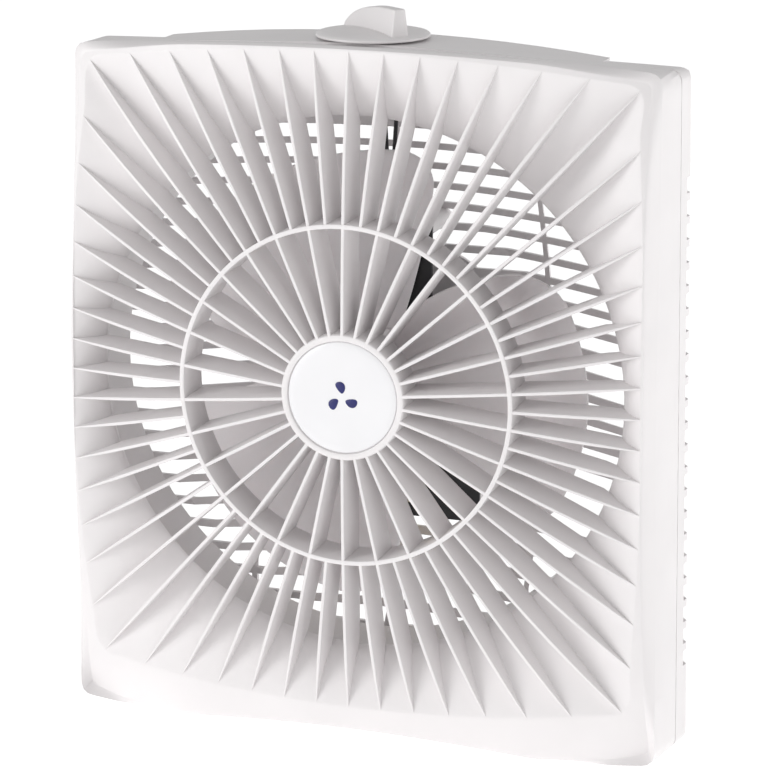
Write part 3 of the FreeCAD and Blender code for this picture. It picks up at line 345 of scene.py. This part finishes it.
def mouth_outline():
    """Where the ribs run out on the front face: a square with bowed sides."""
    top = [(x, 0.141 - 0.7 * x * x, 0) for x in np.linspace(0.100, -0.100, 21)]
    side = [(0.124 - 0.39 * (z + 0.008) ** 2, z, 0) for z in np.linspace(-0.112, 0.113, 21)]
    base = [(x, -0.1372 + 0.6 * x * x, 0) for x in np.linspace(-0.098, 0.098, 21)]
    left = [(-x, z, 0) for x, z, _ in reversed(side)]
    r = 0.008
    return (
        side + [(0.1195, 0.1318, r)] + top + [(-0.1195, 0.1318, r)]
        + left + [(-0.1195, -0.1292, r)] + base + [(0.1195, -0.1292, r)]
    )


def dome_depth(x, z):
    """Depth of the domed front face: it falls away faster towards the sides and corners."""
    square = x * x + z * z
    return 0.19 * square + 11.5 * square * square + 10.0 * x ** 4


def dome_at(radius, angle):
    return dome_depth(radius * math.cos(angle), radius * math.sin(angle))


BELL_POWER = 1.35
MOUTH = radius_table(rounded_path(mouth_outline(), 0))


def mouth_depth(angle):
    return dome_at(MOUTH(angle), angle)


def bell_depth(guard, radius, angle):
    """Depth of the bell mouth's surface between its lip and the front face."""
    edge = MOUTH(angle)
    share = min(max((radius - guard.throat) / (edge - guard.throat), 0.0), 1.0)
    fall = (1 - (1 - share) ** BELL_POWER) ** (1 / BELL_POWER)
    return guard.lip + (mouth_depth(angle) - guard.lip) * fall


# Materials --------------------------------------------------------------------------------------

class Finish:
    """A node material that is built up from Object coordinates."""

    def __init__(self, name, base, roughness, metallic=0.0, coat=0.0):
        self.material = bpy.data.materials.new(name)
        self.material.use_nodes = True
        self.nodes = self.material.node_tree.nodes
        self.links = self.material.node_tree.links
        self.shader = self.nodes["Principled BSDF"]
        self.shader.inputs["Base Color"].default_value = (*base, 1)
        self.shader.inputs["Roughness"].default_value = roughness
        self.shader.inputs["Metallic"].default_value = metallic
        self.shader.inputs["Coat Weight"].default_value = coat
        self.shader.inputs["Coat Roughness"].default_value = 0.12
        self.coordinates = self.nodes.new("ShaderNodeTexCoord").outputs["Object"]
        self.height = None

    def link(self, source, target):
        self.links.new(source, target)

    def noise(self, scale, detail=3.0, stretch=None):
        source = self.coordinates
        if stretch:
            mapping = self.nodes.new("ShaderNodeMapping")
            mapping.inputs["Scale"].default_value = stretch
            self.link(source, mapping.inputs["Vector"])
            source = mapping.outputs["Vector"]
        node = self.nodes.new("ShaderNodeTexNoise")
        node.inputs["Scale"].default_value = scale
        node.inputs["Detail"].default_value = detail
        self.link(source, node.inputs["Vector"])
        return node.outputs["Fac"]

    def ramp(self, source, low, high, start=0.35, stop=0.65):
        node = self.nodes.new("ShaderNodeValToRGB")
        node.color_ramp.elements[0].position = start
        node.color_ramp.elements[1].position = stop
        node.color_ramp.elements[0].color = (*low, 1)
        node.color_ramp.elements[1].color = (*high, 1)
        self.link(source, node.inputs["Fac"])
        return node.outputs["Color"]

    def span(self, source, low, high):
        node = self.nodes.new("ShaderNodeMapRange")
        node.inputs["To Min"].default_value = low
        node.inputs["To Max"].default_value = high
        self.link(source, node.inputs["Value"])
        return node.outputs["Result"]

    def tint(self, source, low, high):
        self.link(self.ramp(source, low, high), self.shader.inputs["Base Color"])

    def rough(self, source, low, high):
        self.link(self.span(source, low, high), self.shader.inputs["Roughness"])

    def bump(self, source, distance, strength=1.0):
        node = self.nodes.new("ShaderNodeBump")
        node.inputs["Distance"].default_value = distance
        node.inputs["Strength"].default_value = strength
        self.link(source, node.inputs["Height"])
        if self.height:
            self.link(self.height, node.inputs["Normal"])
        self.height = node.outputs["Normal"]
        self.link(self.height, self.shader.inputs["Normal"])

    def bands(self, scale, direction="Y"):
        node = self.nodes.new("ShaderNodeTexWave")
        node.bands_direction = direction
        node.inputs["Scale"].default_value = scale
        node.inputs["Distortion"].default_value = 0.4
        self.link(self.coordinates, node.inputs["Vector"])
        return node.outputs["Fac"]


def shade(base, factor):
    return tuple(min(1.0, c * factor) for c in base)


def moulded_plastic(name, base, roughness, grain=0.6, gloss=0.0):
    """Injection-moulded plastic: faint flow marks, a fine eroded grain and light handling wear."""
    finish = Finish(name, base, roughness, coat=gloss)
    cloud = finish.noise(22, 4)
    finish.tint(cloud, shade(base, 0.975), shade(base, 1.015))
    finish.rough(finish.noise(60, 5), roughness - 0.06, roughness + 0.07)
    finish.bump(finish.noise(1400, 2), 0.00003 * grain, 0.5)
    finish.bump(finish.noise(160, 3), 0.00006 * grain, 0.35)
    return finish.material


def translucent(material, share=0.5):
    """Thin plastic that lets some of the light behind it through."""
    shader = material.node_tree.nodes["Principled BSDF"]
    shader.inputs["Subsurface Weight"].default_value = share
    shader.inputs["Subsurface Radius"].default_value = (1.0, 0.9, 0.9)
    shader.inputs["Subsurface Scale"].default_value = 0.004
    return material


def pressed_metal(name, base, roughness, metallic=1.0, grain=1.0):
    finish = Finish(name, base, roughness, metallic)
    finish.tint(finish.noise(90, 5), shade(base, 0.85), shade(base, 1.1))
    finish.rough(finish.noise(240, 4), roughness - 0.08, roughness + 0.12)
    finish.bump(finish.noise(900, 4), 0.00004 * grain, 0.5)
    return finish.material


def laminations(name, base):
    """Stacked electrical steel: fine lines across the depth and a lacquered tint."""
    finish = Finish(name, base, 0.42, 0.85)
    lines = finish.bands(320, "Y")
    finish.tint(lines, shade(base, 0.55), shade(base, 1.15))
    finish.rough(finish.noise(300, 3), 0.3, 0.55)
    finish.bump(lines, 0.0001, 0.8)
    return finish.material


def wound_copper(name, base):
    """Enamelled wire laid side by side."""
    finish = Finish(name, base, 0.3, 0.9)
    turns = finish.bands(420, "X")
    finish.tint(turns, shade(base, 0.45), shade(base, 1.2))
    finish.bump(turns, 0.00015, 0.9)
    finish.rough(finish.noise(200, 3), 0.22, 0.4)
    return finish.material


def insulation(name, base, roughness=0.45):
    finish = Finish(name, base, roughness)
    finish.tint(finish.noise(120, 4), shade(base, 0.8), shade(base, 1.15))
    finish.rough(finish.noise(400, 3), roughness - 0.08, roughness + 0.1)
    finish.bump(finish.noise(1100, 3), 0.00004, 0.5)
    return finish.material


def felt(name, base):
    finish = Finish(name, base, 0.95)
    finish.tint(finish.noise(900, 6), shade(base, 0.7), shade(base, 1.15))
    finish.bump(finish.noise(1500, 6), 0.0002, 0.8)
    return finish.material


def finish_library(colours):
    """One material for each finish in the record."""
    return {
        "casing": moulded_plastic("White moulded plastic", tuple(colours.casing), 0.38),
        "badge": moulded_plastic("Badge plastic", tuple(colours.badge), 0.24, 0.3, 0.25),
        # The blades' base colour is lightened as painted light, on top of their real subsurface translucency.
        "blades": translucent(moulded_plastic("Blade plastic with painted light", tuple(colours.blades), 0.36)),
        "knob": moulded_plastic("Knob plastic", shade(tuple(colours.casing), 0.97), 0.34),
        "black_steel": pressed_metal("Black painted steel", (0.02, 0.02, 0.022), 0.4, 0.0),
        "zinc_screw": pressed_metal("Zinc plate", (0.62, 0.62, 0.60), 0.32),
        "bright_steel": pressed_metal("Ground steel", (0.55, 0.55, 0.56), 0.22, 1.0, 0.5),
        "lamination_steel": laminations("Laminations", (0.16, 0.16, 0.18)),
        "zinc_alloy": pressed_metal("Die-cast alloy", (0.42, 0.42, 0.43), 0.5),
        "bronze": pressed_metal("Sintered bronze", (0.46, 0.28, 0.12), 0.5),
        "felt": felt("Oiled felt", (0.5, 0.45, 0.33)),
        "aluminium_cage": pressed_metal("Cast aluminium", (0.62, 0.62, 0.64), 0.42),
        "copper": wound_copper("Winding copper", (0.62, 0.24, 0.09)),
        "bobbin_nylon": insulation("Natural nylon", (0.72, 0.69, 0.6), 0.4),
        "tape": insulation("Polyester tape", (0.62, 0.44, 0.06), 0.25),
        "fuse_case": pressed_metal("Fuse case", (0.55, 0.44, 0.22), 0.35, 0.6),
        "switch_phenolic": insulation("Dark phenolic", (0.03, 0.026, 0.024), 0.4),
        "brass": pressed_metal("Brass", (0.6, 0.44, 0.16), 0.3),
        "wire_black": insulation("Wire insulation", (0.02, 0.02, 0.022), 0.42),
        "rubber": insulation("Grey rubber", (0.42, 0.42, 0.41), 0.8),
    }


FINISH_NAMES = {}


def finish_of(slot):
    return bpy.data.materials[FINISH_NAMES[slot]]


def paint(piece, slot):
    piece.data.materials.clear()
    piece.data.materials.append(finish_of(slot))
    return piece


class FAN_OT_finishes(bpy.types.Operator):
    """Make the finishes and give every CAD node its own"""
    bl_idname = "box_fan.finishes"
    bl_label = "Finishes"

    def execute(self, context):
        for slot, material in finish_library(context.scene.fan_finishes).items():
            FINISH_NAMES[slot] = material.name
        for entry in frame["record"]["subparts"]:
            node = frame["nodes"][entry["node"]]
            material = finish_of(entry["material_slot"])
            for place in node.material_slots:
                place.material = material
            if not node.material_slots:
                node.data.materials.append(material)
        return {"FINISHED"}


# Front casing -----------------------------------------------------------------------------------

CASING_STEPS = 480


def casing_angles():
    return [2 * math.pi * i / CASING_STEPS for i in range(CASING_STEPS)]


def outline_radii(sizes, depth, inset=0.0):
    table = radius_table(rounded_path(casing_outline(sizes, depth, inset), 0))
    return [table(angle) for angle in casing_angles()]


def face_rim(sizes):
    """Radii of the face's rim: close to the outline at the top and base, well inside it at the sides."""
    near = outline_radii(sizes, sizes.front_edge, sizes.top_bevel)
    far = outline_radii(sizes, sizes.front_edge, sizes.side_bevel)
    rim = []
    for angle, close, broad in zip(casing_angles(), near, far):
        share = min(max((abs(math.cos(angle)) - 0.45) / 0.3, 0.0), 1.0)
        share = share * share * (3 - 2 * share)
        rim.append(close + (broad - close) * share)
    return rim


def front_casing(sizes, guard):
    """Throat, bell mouth, flat margin, bevel and side wall, as one closed skin."""
    angles = casing_angles()
    wall = sizes.wall

    def circle(radius, depth):
        return [polar(radius, angle, depth) for angle in angles]

    def bell(share):
        points = []
        for angle in angles:
            radius = guard.throat + (MOUTH(angle) - guard.throat) * share
            points.append(polar(radius, angle, bell_depth(guard, radius, angle)))
        return points

    def margin(share):
        """Between the run-out of the ribs and the bevel, on the dome."""
        points = []
        for angle, outer in zip(angles, face_rim(sizes)):
            radius = MOUTH(angle) + (outer - MOUTH(angle)) * share
            points.append(polar(radius, angle, dome_at(radius, angle)))
        return points

    def side(depth, inset):
        return [polar(r, angle, depth) for r, angle in zip(outline_radii(sizes, depth, inset), angles)]

    def bevel(share):
        """From the front face's rim, out and back to the widest line."""
        outer = outline_radii(sizes, sizes.front_edge, 0.0)
        points = []
        for angle, a, b in zip(angles, face_rim(sizes), outer):
            rim = dome_at(a, angle)
            drop = min(2.4 * (b - a), sizes.front_edge + 0.004 - rim)
            depth = rim + drop * (0.16 * share + 0.84 * share ** 1.6)
            points.append(polar(a + (b - a) * share, angle, depth))
        return points

    rings = [circle(guard.throat, guard.throat_end)]
    rings += [circle(guard.throat, d) for d in (0.041, 0.034, 0.027, guard.lip + 0.0012)]
    rings += [circle(guard.throat - 0.0004, guard.lip + d) for d in (0.0009, 0.0003)]
    bell_shares = (0, 0.02, 0.06, 0.12, 0.2, 0.3, 0.42, 0.55, 0.68, 0.8, 0.9, 0.96, 0.988)
    rings += [bell(share) for share in bell_shares]
    rings += [margin(share) for share in (0.015, 0.08, 0.3, 0.6, 0.9)]
    rings += [bevel(share) for share in (0.0, 0.05, 0.12, 0.22, 0.45, 0.75, 0.9, 0.96, 1.0)]
    rings += [side(depth, 0.0) for depth in (0.031, 0.037, sizes.parting - 0.0006)]
    rings += [side(sizes.parting, 0.0005), side(sizes.parting, wall)]
    rings += [side(0.034, wall), side(0.0275, wall)]
    rings += [circle(guard.throat + 0.005, guard.lip + 0.004)]
    rings += [circle(guard.throat + wall, d) for d in (0.029, 0.037, guard.throat_end)]
    piece = loft("front_casing", rings, closed=True)
    return paint(piece, "casing")


class FAN_OT_front_casing(bpy.types.Operator):
    """Shape the front half of the casing with its bell mouth and throat"""
    bl_idname = "box_fan.front_casing"
    bl_label = "Front casing"

    def execute(self, context):
        piece = front_casing(context.scene.fan_casing, context.scene.fan_guard)
        finish_piece(piece, "housing", "casing", "front_shell", smooth=28)
        return {"FINISHED"}


# Guard ------------------------------------------------------------------------------------------

def rib(angle, stations):
    """One rib: a flat front edge on the dome and a deeper, thicker back, drawn out along a radius."""
    along = Vector((math.cos(angle), 0, math.sin(angle)))
    across = Vector((-math.sin(angle), 0, math.cos(angle)))
    centre = Vector((0, 0, AXIS_Z))
    rings = []
    for radius, width, back in stations:
        front = dome_depth(radius * along.x, radius * along.z)
        half = width / 2
        rise = back - front
        soft = min(0.00022, half * 0.5, rise * 0.3)
        foot = half * (1 + 0.25 * min(1.0, rise / 0.015))
        section = [
            (foot, back), (half, front + soft), (half - soft * 0.3, front + soft * 0.3),
            (half - soft, front), (soft - half, front), (soft * 0.3 - half, front + soft * 0.3),
            (-half, front + soft), (-foot, back),
        ]
        rings.append([centre + along * radius + across * a + Vector((0, depth_y(d), 0)) for a, d in section])
    return loft("rib", rings, cap_start=True, cap_end=True)


def outer_rib(guard, angle):
    tip = MOUTH(angle)
    start = guard.ring
    shares = [0, 0.12, 0.24, 0.36, 0.48, 0.58, 0.68, 0.78, 0.86, 0.92, 0.97, 1.0]
    stations = []
    for share in shares:
        radius = start + (tip - start) * share
        back = guard.rib_back
        if radius > guard.throat - 0.001:
            back = min(back, bell_depth(guard, radius, angle) + 0.0006)
        near = min(1.0, (1.0 - share) / 0.35)
        width = guard.rib_width * (0.3 + 0.7 * near ** 0.7)
        front = dome_at(radius, angle)
        stations.append((radius, width, max(back, front + 0.0004)))
    return rib(angle, stations)


def inner_rib(guard, angle):
    shares = [0, 0.25, 0.5, 0.75, 1.0]
    start = guard.hub - 0.0008
    stations = [(start + (guard.ring - start) * s, guard.rib_width, guard.rib_back - 0.001) for s in shares]
    return rib(angle, stations)


def guard_ring(guard):
    half = guard.ring_wall / 2
    steps = 240
    angles = [2 * math.pi * i / steps for i in range(steps)]
    soft = 0.00025
    section = [
        (half * 1.2, None), (half, soft), (half - soft * 0.3, soft * 0.3), (half - soft, 0.0),
        (soft - half, 0.0), (soft * 0.3 - half, soft * 0.3), (-half, soft), (-half * 1.2, None),
    ]
    rings = []
    for offset, behind in section:
        ring = []
        for angle in angles:
            radius = guard.ring + offset
            front = dome_at(guard.ring, angle) - 0.0002
            depth = guard.rib_back if behind is None else front + behind
            ring.append(polar(radius, angle, depth))
        rings.append(ring)
    return loft("guard_ring", rings, closed=True)


def guard_hub(guard):
    r = guard.hub
    badge = guard.badge + 0.0002
    profile = [
        (0.0008, guard.badge_recess), (badge - 0.0003, guard.badge_recess),
        (badge, guard.badge_recess - 0.0002),
        (badge + 0.0001, 0.0005), (badge + 0.0003, 0.00015), (badge + 0.0007, 0.0), (r - 0.0011, 0.0),
        (r - 0.0005, 0.00015), (r - 0.00012, 0.0006), (r, 0.0013), (r, guard.hub_depth - 0.0004),
        (r - 0.0004, guard.hub_depth), (r - 0.0018, guard.hub_depth), (r - 0.002, guard.hub_depth - 0.0003),
        (r - 0.002, 0.0036), (r - 0.003, 0.0026), (0.0008, 0.0026),
    ]
    return lathe("guard_hub", profile, 160, closed=True)


class FAN_OT_guard(bpy.types.Operator):
    """Shape the sunburst of ribs with its ring and hub"""
    bl_idname = "box_fan.guard"
    bl_label = "Sunburst guard"

    def execute(self, context):
        guard = context.scene.fan_guard
        top = math.pi / 2
        outer = [outer_rib(guard, top + 2 * math.pi * i / guard.outer_ribs) for i in range(guard.outer_ribs)]
        inner = [inner_rib(guard, top + 2 * math.pi * i / guard.inner_ribs) for i in range(guard.inner_ribs)]
        for pieces, name in ((outer, "guard_outer_ribs"), (inner, "guard_inner_ribs")):
            whole = join(pieces, name)
            finish_piece(paint(whole, "casing"), "housing", "casing", "front_shell", smooth=32)
        for piece in (guard_ring(guard), guard_hub(guard)):
            finish_piece(paint(piece, "casing"), "housing", "casing", "front_shell", smooth=32)
        return {"FINISHED"}


# Badge ------------------------------------------------------------------------------------------

def badge_disc(guard):
    r = guard.badge
    face = guard.badge_recess - 0.0009
    profile = [
        (0.0, face - 0.00015), (r * 0.5, face - 0.0001), (r * 0.85, face), (r - 0.0006, face + 0.00005),
        (r - 0.0002, face + 0.0002), (r, face + 0.0005), (r, guard.badge_recess - 0.00005),
        (0.0, guard.badge_recess - 0.00005),
    ]
    piece = lathe("badge_disc", profile, 128)
    bpy.ops.object.mode_set(mode="EDIT")
    bpy.ops.mesh.select_all(action="SELECT")
    bpy.ops.mesh.remove_doubles(threshold=0.00001)
    bpy.ops.mesh.normals_make_consistent(inside=False)
    bpy.ops.object.mode_set(mode="OBJECT")
    return piece


def petal(guard, turn):
    """One petal of the printed fan sign."""
    face = guard.badge_recess - 0.0009
    steps = 40
    rings = []
    for lift, shrink in ((-0.0001, 1.0), (-0.00022, 1.0), (-0.00026, 0.96)):
        ring = []
        for i in range(steps):
            t = 2 * math.pi * i / steps
            out = 0.0019 + 0.0025 * (1 + math.cos(t) * shrink)
            lean = 0.0019 * math.sin(t) * (1 + 0.35 * math.cos(t)) * shrink
            swirl = turn + 42 * (out - 0.0019)
            x = out * math.cos(swirl) - lean * math.sin(swirl)
            z = out * math.sin(swirl) + lean * math.cos(swirl)
            ring.append(Vector((x, depth_y(face + lift), AXIS_Z + z)))
        rings.append(ring)
    return loft("petal", rings, cap_start=True, cap_end=True)


class FAN_OT_badge(bpy.types.Operator):
    """Shape the badge and its plain printed fan sign"""
    bl_idname = "box_fan.badge"
    bl_label = "Badge"

    def execute(self, context):
        guard = context.scene.fan_guard
        disc = paint(badge_disc(guard), "badge")
        finish_piece(disc, "housing", "badge", "hub_badge", smooth=40)
        petals = [petal(guard, math.pi / 2 + 2 * math.pi * i / 3) for i in range(3)]
        sign = join(petals, "badge_sign")
        sign.data.materials.clear()
        ink = insulation("Navy print", tuple(context.scene.fan_finishes.emblem), 0.35)
        sign.data.materials.append(ink)
        finish_piece(sign, "housing", "badge", "hub_badge", smooth=40)
        return {"FINISHED"}


# Rotor ------------------------------------------------------------------------------------------

def blade(rotor, number):
    """One paddle blade from a grid that is wrapped round the hub and tilted."""
    deselect()
    across_steps, out_steps = 36, 24
    bpy.ops.mesh.primitive_grid_add(x_subdivisions=across_steps, y_subdivisions=out_steps, size=2)
    piece = bpy.context.object
    piece.name = f"fan_blade_{number + 1}"
    phase = rotor.phase + number * 2 * math.pi / rotor.blades
    root = rotor.hub - 0.0008
    for vertex in piece.data.vertices:
        across, out = vertex.co.x, (vertex.co.y + 1) / 2
        out = math.sin(out * math.pi / 2) ** 0.85 if out > 0 else 0.0
        radius = root + (rotor.radius - root) * out
        full = rotor.root_angle + (rotor.tip_angle - rotor.root_angle) * out
        half = full
        start = rotor.radius - rotor.corner
        if radius > start:
            trim = rotor.corner - math.sqrt(max(rotor.corner ** 2 - (radius - start) ** 2, 0))
            half -= trim / radius
        angle = phase + rotor.sweep * out + half * across
        camber = 0.0028 * (1 - across * across) * (0.3 + 0.7 * out)
        depth = rotor.middle - rotor.rise * across * (half / full)
        vertex.co = polar(radius, angle, depth - camber + 0.0012)
    bpy.context.view_layer.objects.active = piece
    skin = piece.modifiers.new("Thickness", "SOLIDIFY")
    skin.thickness = rotor.thickness
    skin.offset = 0
    bpy.ops.object.modifier_apply(modifier=skin.name)
    add_bevel(piece, 0.0006, 3, 50)
    return piece


def rotor_hub(rotor):
    r = rotor.hub
    front, rear = rotor.hub_front, rotor.hub_rear
    profile = [
        (0.0031, front + 0.0003), (0.0034, front), (0.0062, front), (0.0068, front + 0.0006),
        (0.0075, front + 0.0008), (r - 0.0022, front + 0.0008), (r - 0.0008, front + 0.0014),
        (r, front + 0.003),
        (r, rear - 0.0003), (r - 0.0003, rear), (r - 0.0017, rear), (r - 0.002, rear - 0.0003),
        (r - 0.002, front + 0.004), (r - 0.003, front + 0.003), (0.0068, front + 0.003),
        (0.0065, rear - 0.002),
        (0.0031, rear - 0.002),
    ]
    return lathe("fan_hub", profile, 96, closed=True)


class FAN_OT_rotor(bpy.types.Operator):
    """Shape the three blades and their hub"""
    bl_idname = "box_fan.rotor"
    bl_label = "Rotor"

    def execute(self, context):
        rotor = context.scene.fan_rotor
        pieces = [blade(rotor, number) for number in range(rotor.blades)] + [rotor_hub(rotor)]
        for piece in pieces:
            finish_piece(paint(piece, "blades"), "rotor", "blades", "fan_blades", smooth=40)
        return {"FINISHED"}


# Knob -------------------------------------------------------------------------------------------

def knob_skirt(knob):
    base = DECK_Z + knob.gap
    r = knob.radius
    steps = 96
    profile = [
        (0.0032, base + 0.0016), (0.0085, base + 0.0016), (0.0088, base + 0.0008), (0.0198, base + 0.0008),
        (0.020, base), (r - 0.0008, base), (r - 0.0002, base + 0.00015), (r, base + 0.0005),
        (r - 0.0002, base + 0.0011), (r - 0.0009, base + 0.0016),
    ]
    for share in (0.9, 0.8, 0.65, 0.5, 0.35, 0.2, 0.1):
        height = base + 0.0016 + (knob.dome - 0.0016) * (1 - share ** 2.2)
        profile.append(((r - 0.0009) * share, height))
    profile += [(0.0032, base + knob.dome), (0.0032, base + 0.0016)]
    rings = []
    for radius, height in profile[:-1]:
        ring = []
        for i in range(steps):
            t = 2 * math.pi * i / steps
            ring.append(Vector((radius * math.cos(t), KNOB_Y + radius * math.sin(t), height)))
        rings.append(ring)
    return loft("knob_skirt", rings, closed=True)


def knob_grip(knob):
    """The finger grip: tall and square at its pointing end, with a back that curves down."""
    base = DECK_Z + knob.gap + 0.0010
    top = KNOB_TOP
    front, rear = knob.grip_front, knob.grip_rear
    crest = front * 0.55
    steps = 20
    back = []
    for i in range(steps + 1):
        turn = math.pi / 2 * i / steps
        back.append((crest - (rear + crest) * math.sin(turn), base + (top - base) * math.cos(turn)))
    outline = [(front, base), (front * 0.99, top)] + back
    rings = []
    for side in (-1, 1):
        ring = []
        for u, z in outline:
            rise = (z - base) / (top - base)
            half = knob.grip_thickness / 2 * (1 - 0.38 * rise)
            spot = Matrix.Rotation(knob.azimuth, 3, "Z") @ Vector((u, side * half, 0))
            ring.append(spot + Vector((0, KNOB_Y, z)))
        rings.append(ring)
    piece = loft("knob_grip", rings, cap_start=True, cap_end=True)
    add_bevel(piece, 0.0009, 4, 50)
    return piece


class FAN_OT_knob(bpy.types.Operator):
    """Shape the speed knob"""
    bl_idname = "box_fan.knob"
    bl_label = "Speed knob"

    def execute(self, context):
        knob = context.scene.fan_knob
        for piece in (knob_skirt(knob), knob_grip(knob)):
            finish_piece(paint(piece, "knob"), "knob", "knob", "speed_knob", smooth=35)
        return {"FINISHED"}


# Stage ------------------------------------------------------------------------------------------

def soft_light(name, spot, aim, size, power):
    data = bpy.data.lights.new(name, "AREA")
    data.shape = "SQUARE"
    data.size = size
    data.energy = power
    lamp = bpy.data.objects.new(name, data)
    bpy.context.scene.collection.objects.link(lamp)
    lamp.location = spot
    lamp.rotation_euler = (Vector(aim) - Vector(spot)).to_track_quat("-Z", "Y").to_euler()
    return lamp


def sky_colour(world, stage):
    """A white room that is dimmer overhead than at eye level."""
    nodes, links = world.node_tree.nodes, world.node_tree.links
    place = nodes.new("ShaderNodeTexCoord")
    split = nodes.new("ShaderNodeSeparateXYZ")
    fade = nodes.new("ShaderNodeMapRange")
    fade.inputs["From Min"].default_value = 0.0
    fade.inputs["From Max"].default_value = 0.8
    fade.inputs["To Min"].default_value = stage.sky_low
    fade.inputs["To Max"].default_value = stage.sky_high
    links.new(place.outputs["Generated"], split.inputs["Vector"])
    links.new(split.outputs["Z"], fade.inputs["Value"])
    links.new(fade.outputs["Result"], nodes["Background"].inputs["Strength"])


def add_camera(stage):
    turn, lift = stage.azimuth, stage.elevation
    forward = Vector((-math.sin(turn) * math.cos(lift), math.cos(turn) * math.cos(lift), -math.sin(lift)))
    guard_plane = FRONT_Y + 0.003
    aim = Vector((stage.aim_right, guard_plane, AXIS_Z + stage.aim_up))
    data = bpy.data.cameras.new("Camera")
    data.lens = stage.lens
    data.sensor_width = 36
    data.clip_start = 0.05
    camera = bpy.data.objects.new("Camera", data)
    bpy.context.scene.collection.objects.link(camera)
    look = forward.to_track_quat("-Z", "Y").to_matrix().to_4x4()
    place = Matrix.Translation(aim - forward * stage.distance)
    camera.matrix_world = place @ look @ Matrix.Rotation(stage.roll, 4, "Z")
    bpy.context.scene.camera = camera


class FAN_OT_stage(bpy.types.Operator):
    """Set out the floor, the soft lights and the camera"""
    bl_idname = "box_fan.stage"
    bl_label = "Stage"

    def execute(self, context):
        stage = context.scene.fan_stage
        deselect()
        bpy.ops.mesh.primitive_plane_add(size=30)
        floor = context.object
        floor.name = "floor"
        finish = Finish("Pale floor", (0.93, 0.93, 0.93), 0.7)
        finish.tint(finish.noise(3, 2), (0.92, 0.92, 0.92), (0.94, 0.94, 0.94))
        finish.shader.inputs["Emission Color"].default_value = (1, 1, 1, 1)
        finish.shader.inputs["Emission Strength"].default_value = stage.floor_glow
        floor.data.materials.append(finish.material)
        world = bpy.data.worlds.new("Studio")
        world.use_nodes = True
        world.node_tree.nodes["Background"].inputs["Color"].default_value = (1, 1, 1, 1)
        sky_colour(world, stage)
        context.scene.world = world
        aim = (0, 0, AXIS_Z)
        soft_light("Key", (-1.5, -1.8, 0.6), aim, 1.2, stage.key_power)
        soft_light("Fill", (2.1, 0.6, 0.45), aim, 1.2, stage.fill_power)
        context.scene.view_settings.view_transform = "Standard"
        add_camera(stage)
        return {"FINISHED"}


# Panel and running ------------------------------------------------------------------------------

OPERATORS = (
    FAN_OT_finishes,
    FAN_OT_front_casing,
    FAN_OT_guard,
    FAN_OT_badge,
    FAN_OT_rotor,
    FAN_OT_knob,
    FAN_OT_stage,
)

GROUPS = {
    "fan_casing": CasingSizes,
    "fan_guard": GuardSizes,
    "fan_rotor": RotorSizes,
    "fan_knob": KnobSizes,
    "fan_finishes": Finishes,
    "fan_stage": StageSizes,
}


class FAN_PT_panel(bpy.types.Panel):
    """Sidebar panel with the fan's sizes and its pieces"""
    bl_idname = "FAN_PT_panel"
    bl_label = "Box Fan"
    bl_space_type = "VIEW_3D"
    bl_region_type = "UI"
    bl_category = "Box Fan"

    def draw(self, context):
        layout = self.layout
        for operator in OPERATORS:
            layout.operator(operator.bl_idname)
        for group in GROUPS:
            box = layout.box()
            box.label(text=group.replace("fan_", "").title())
            sizes = getattr(context.scene, group)
            for name in sizes.__annotations__:
                box.prop(sizes, name)


def register():
    for group, kind in GROUPS.items():
        bpy.utils.register_class(kind)
        setattr(bpy.types.Scene, group, PointerProperty(type=kind))
    for operator in OPERATORS:
        bpy.utils.register_class(operator)
    bpy.utils.register_class(FAN_PT_panel)


def unregister():
    bpy.utils.unregister_class(FAN_PT_panel)
    for operator in reversed(OPERATORS):
        bpy.utils.unregister_class(operator)
    for group, kind in GROUPS.items():
        delattr(bpy.types.Scene, group)
        bpy.utils.unregister_class(kind)


def main():
    register()
    for operator in OPERATORS:
        group, name = operator.bl_idname.split(".")
        getattr(getattr(bpy.ops, group), name)()


if __name__ == "__main__":
    main()
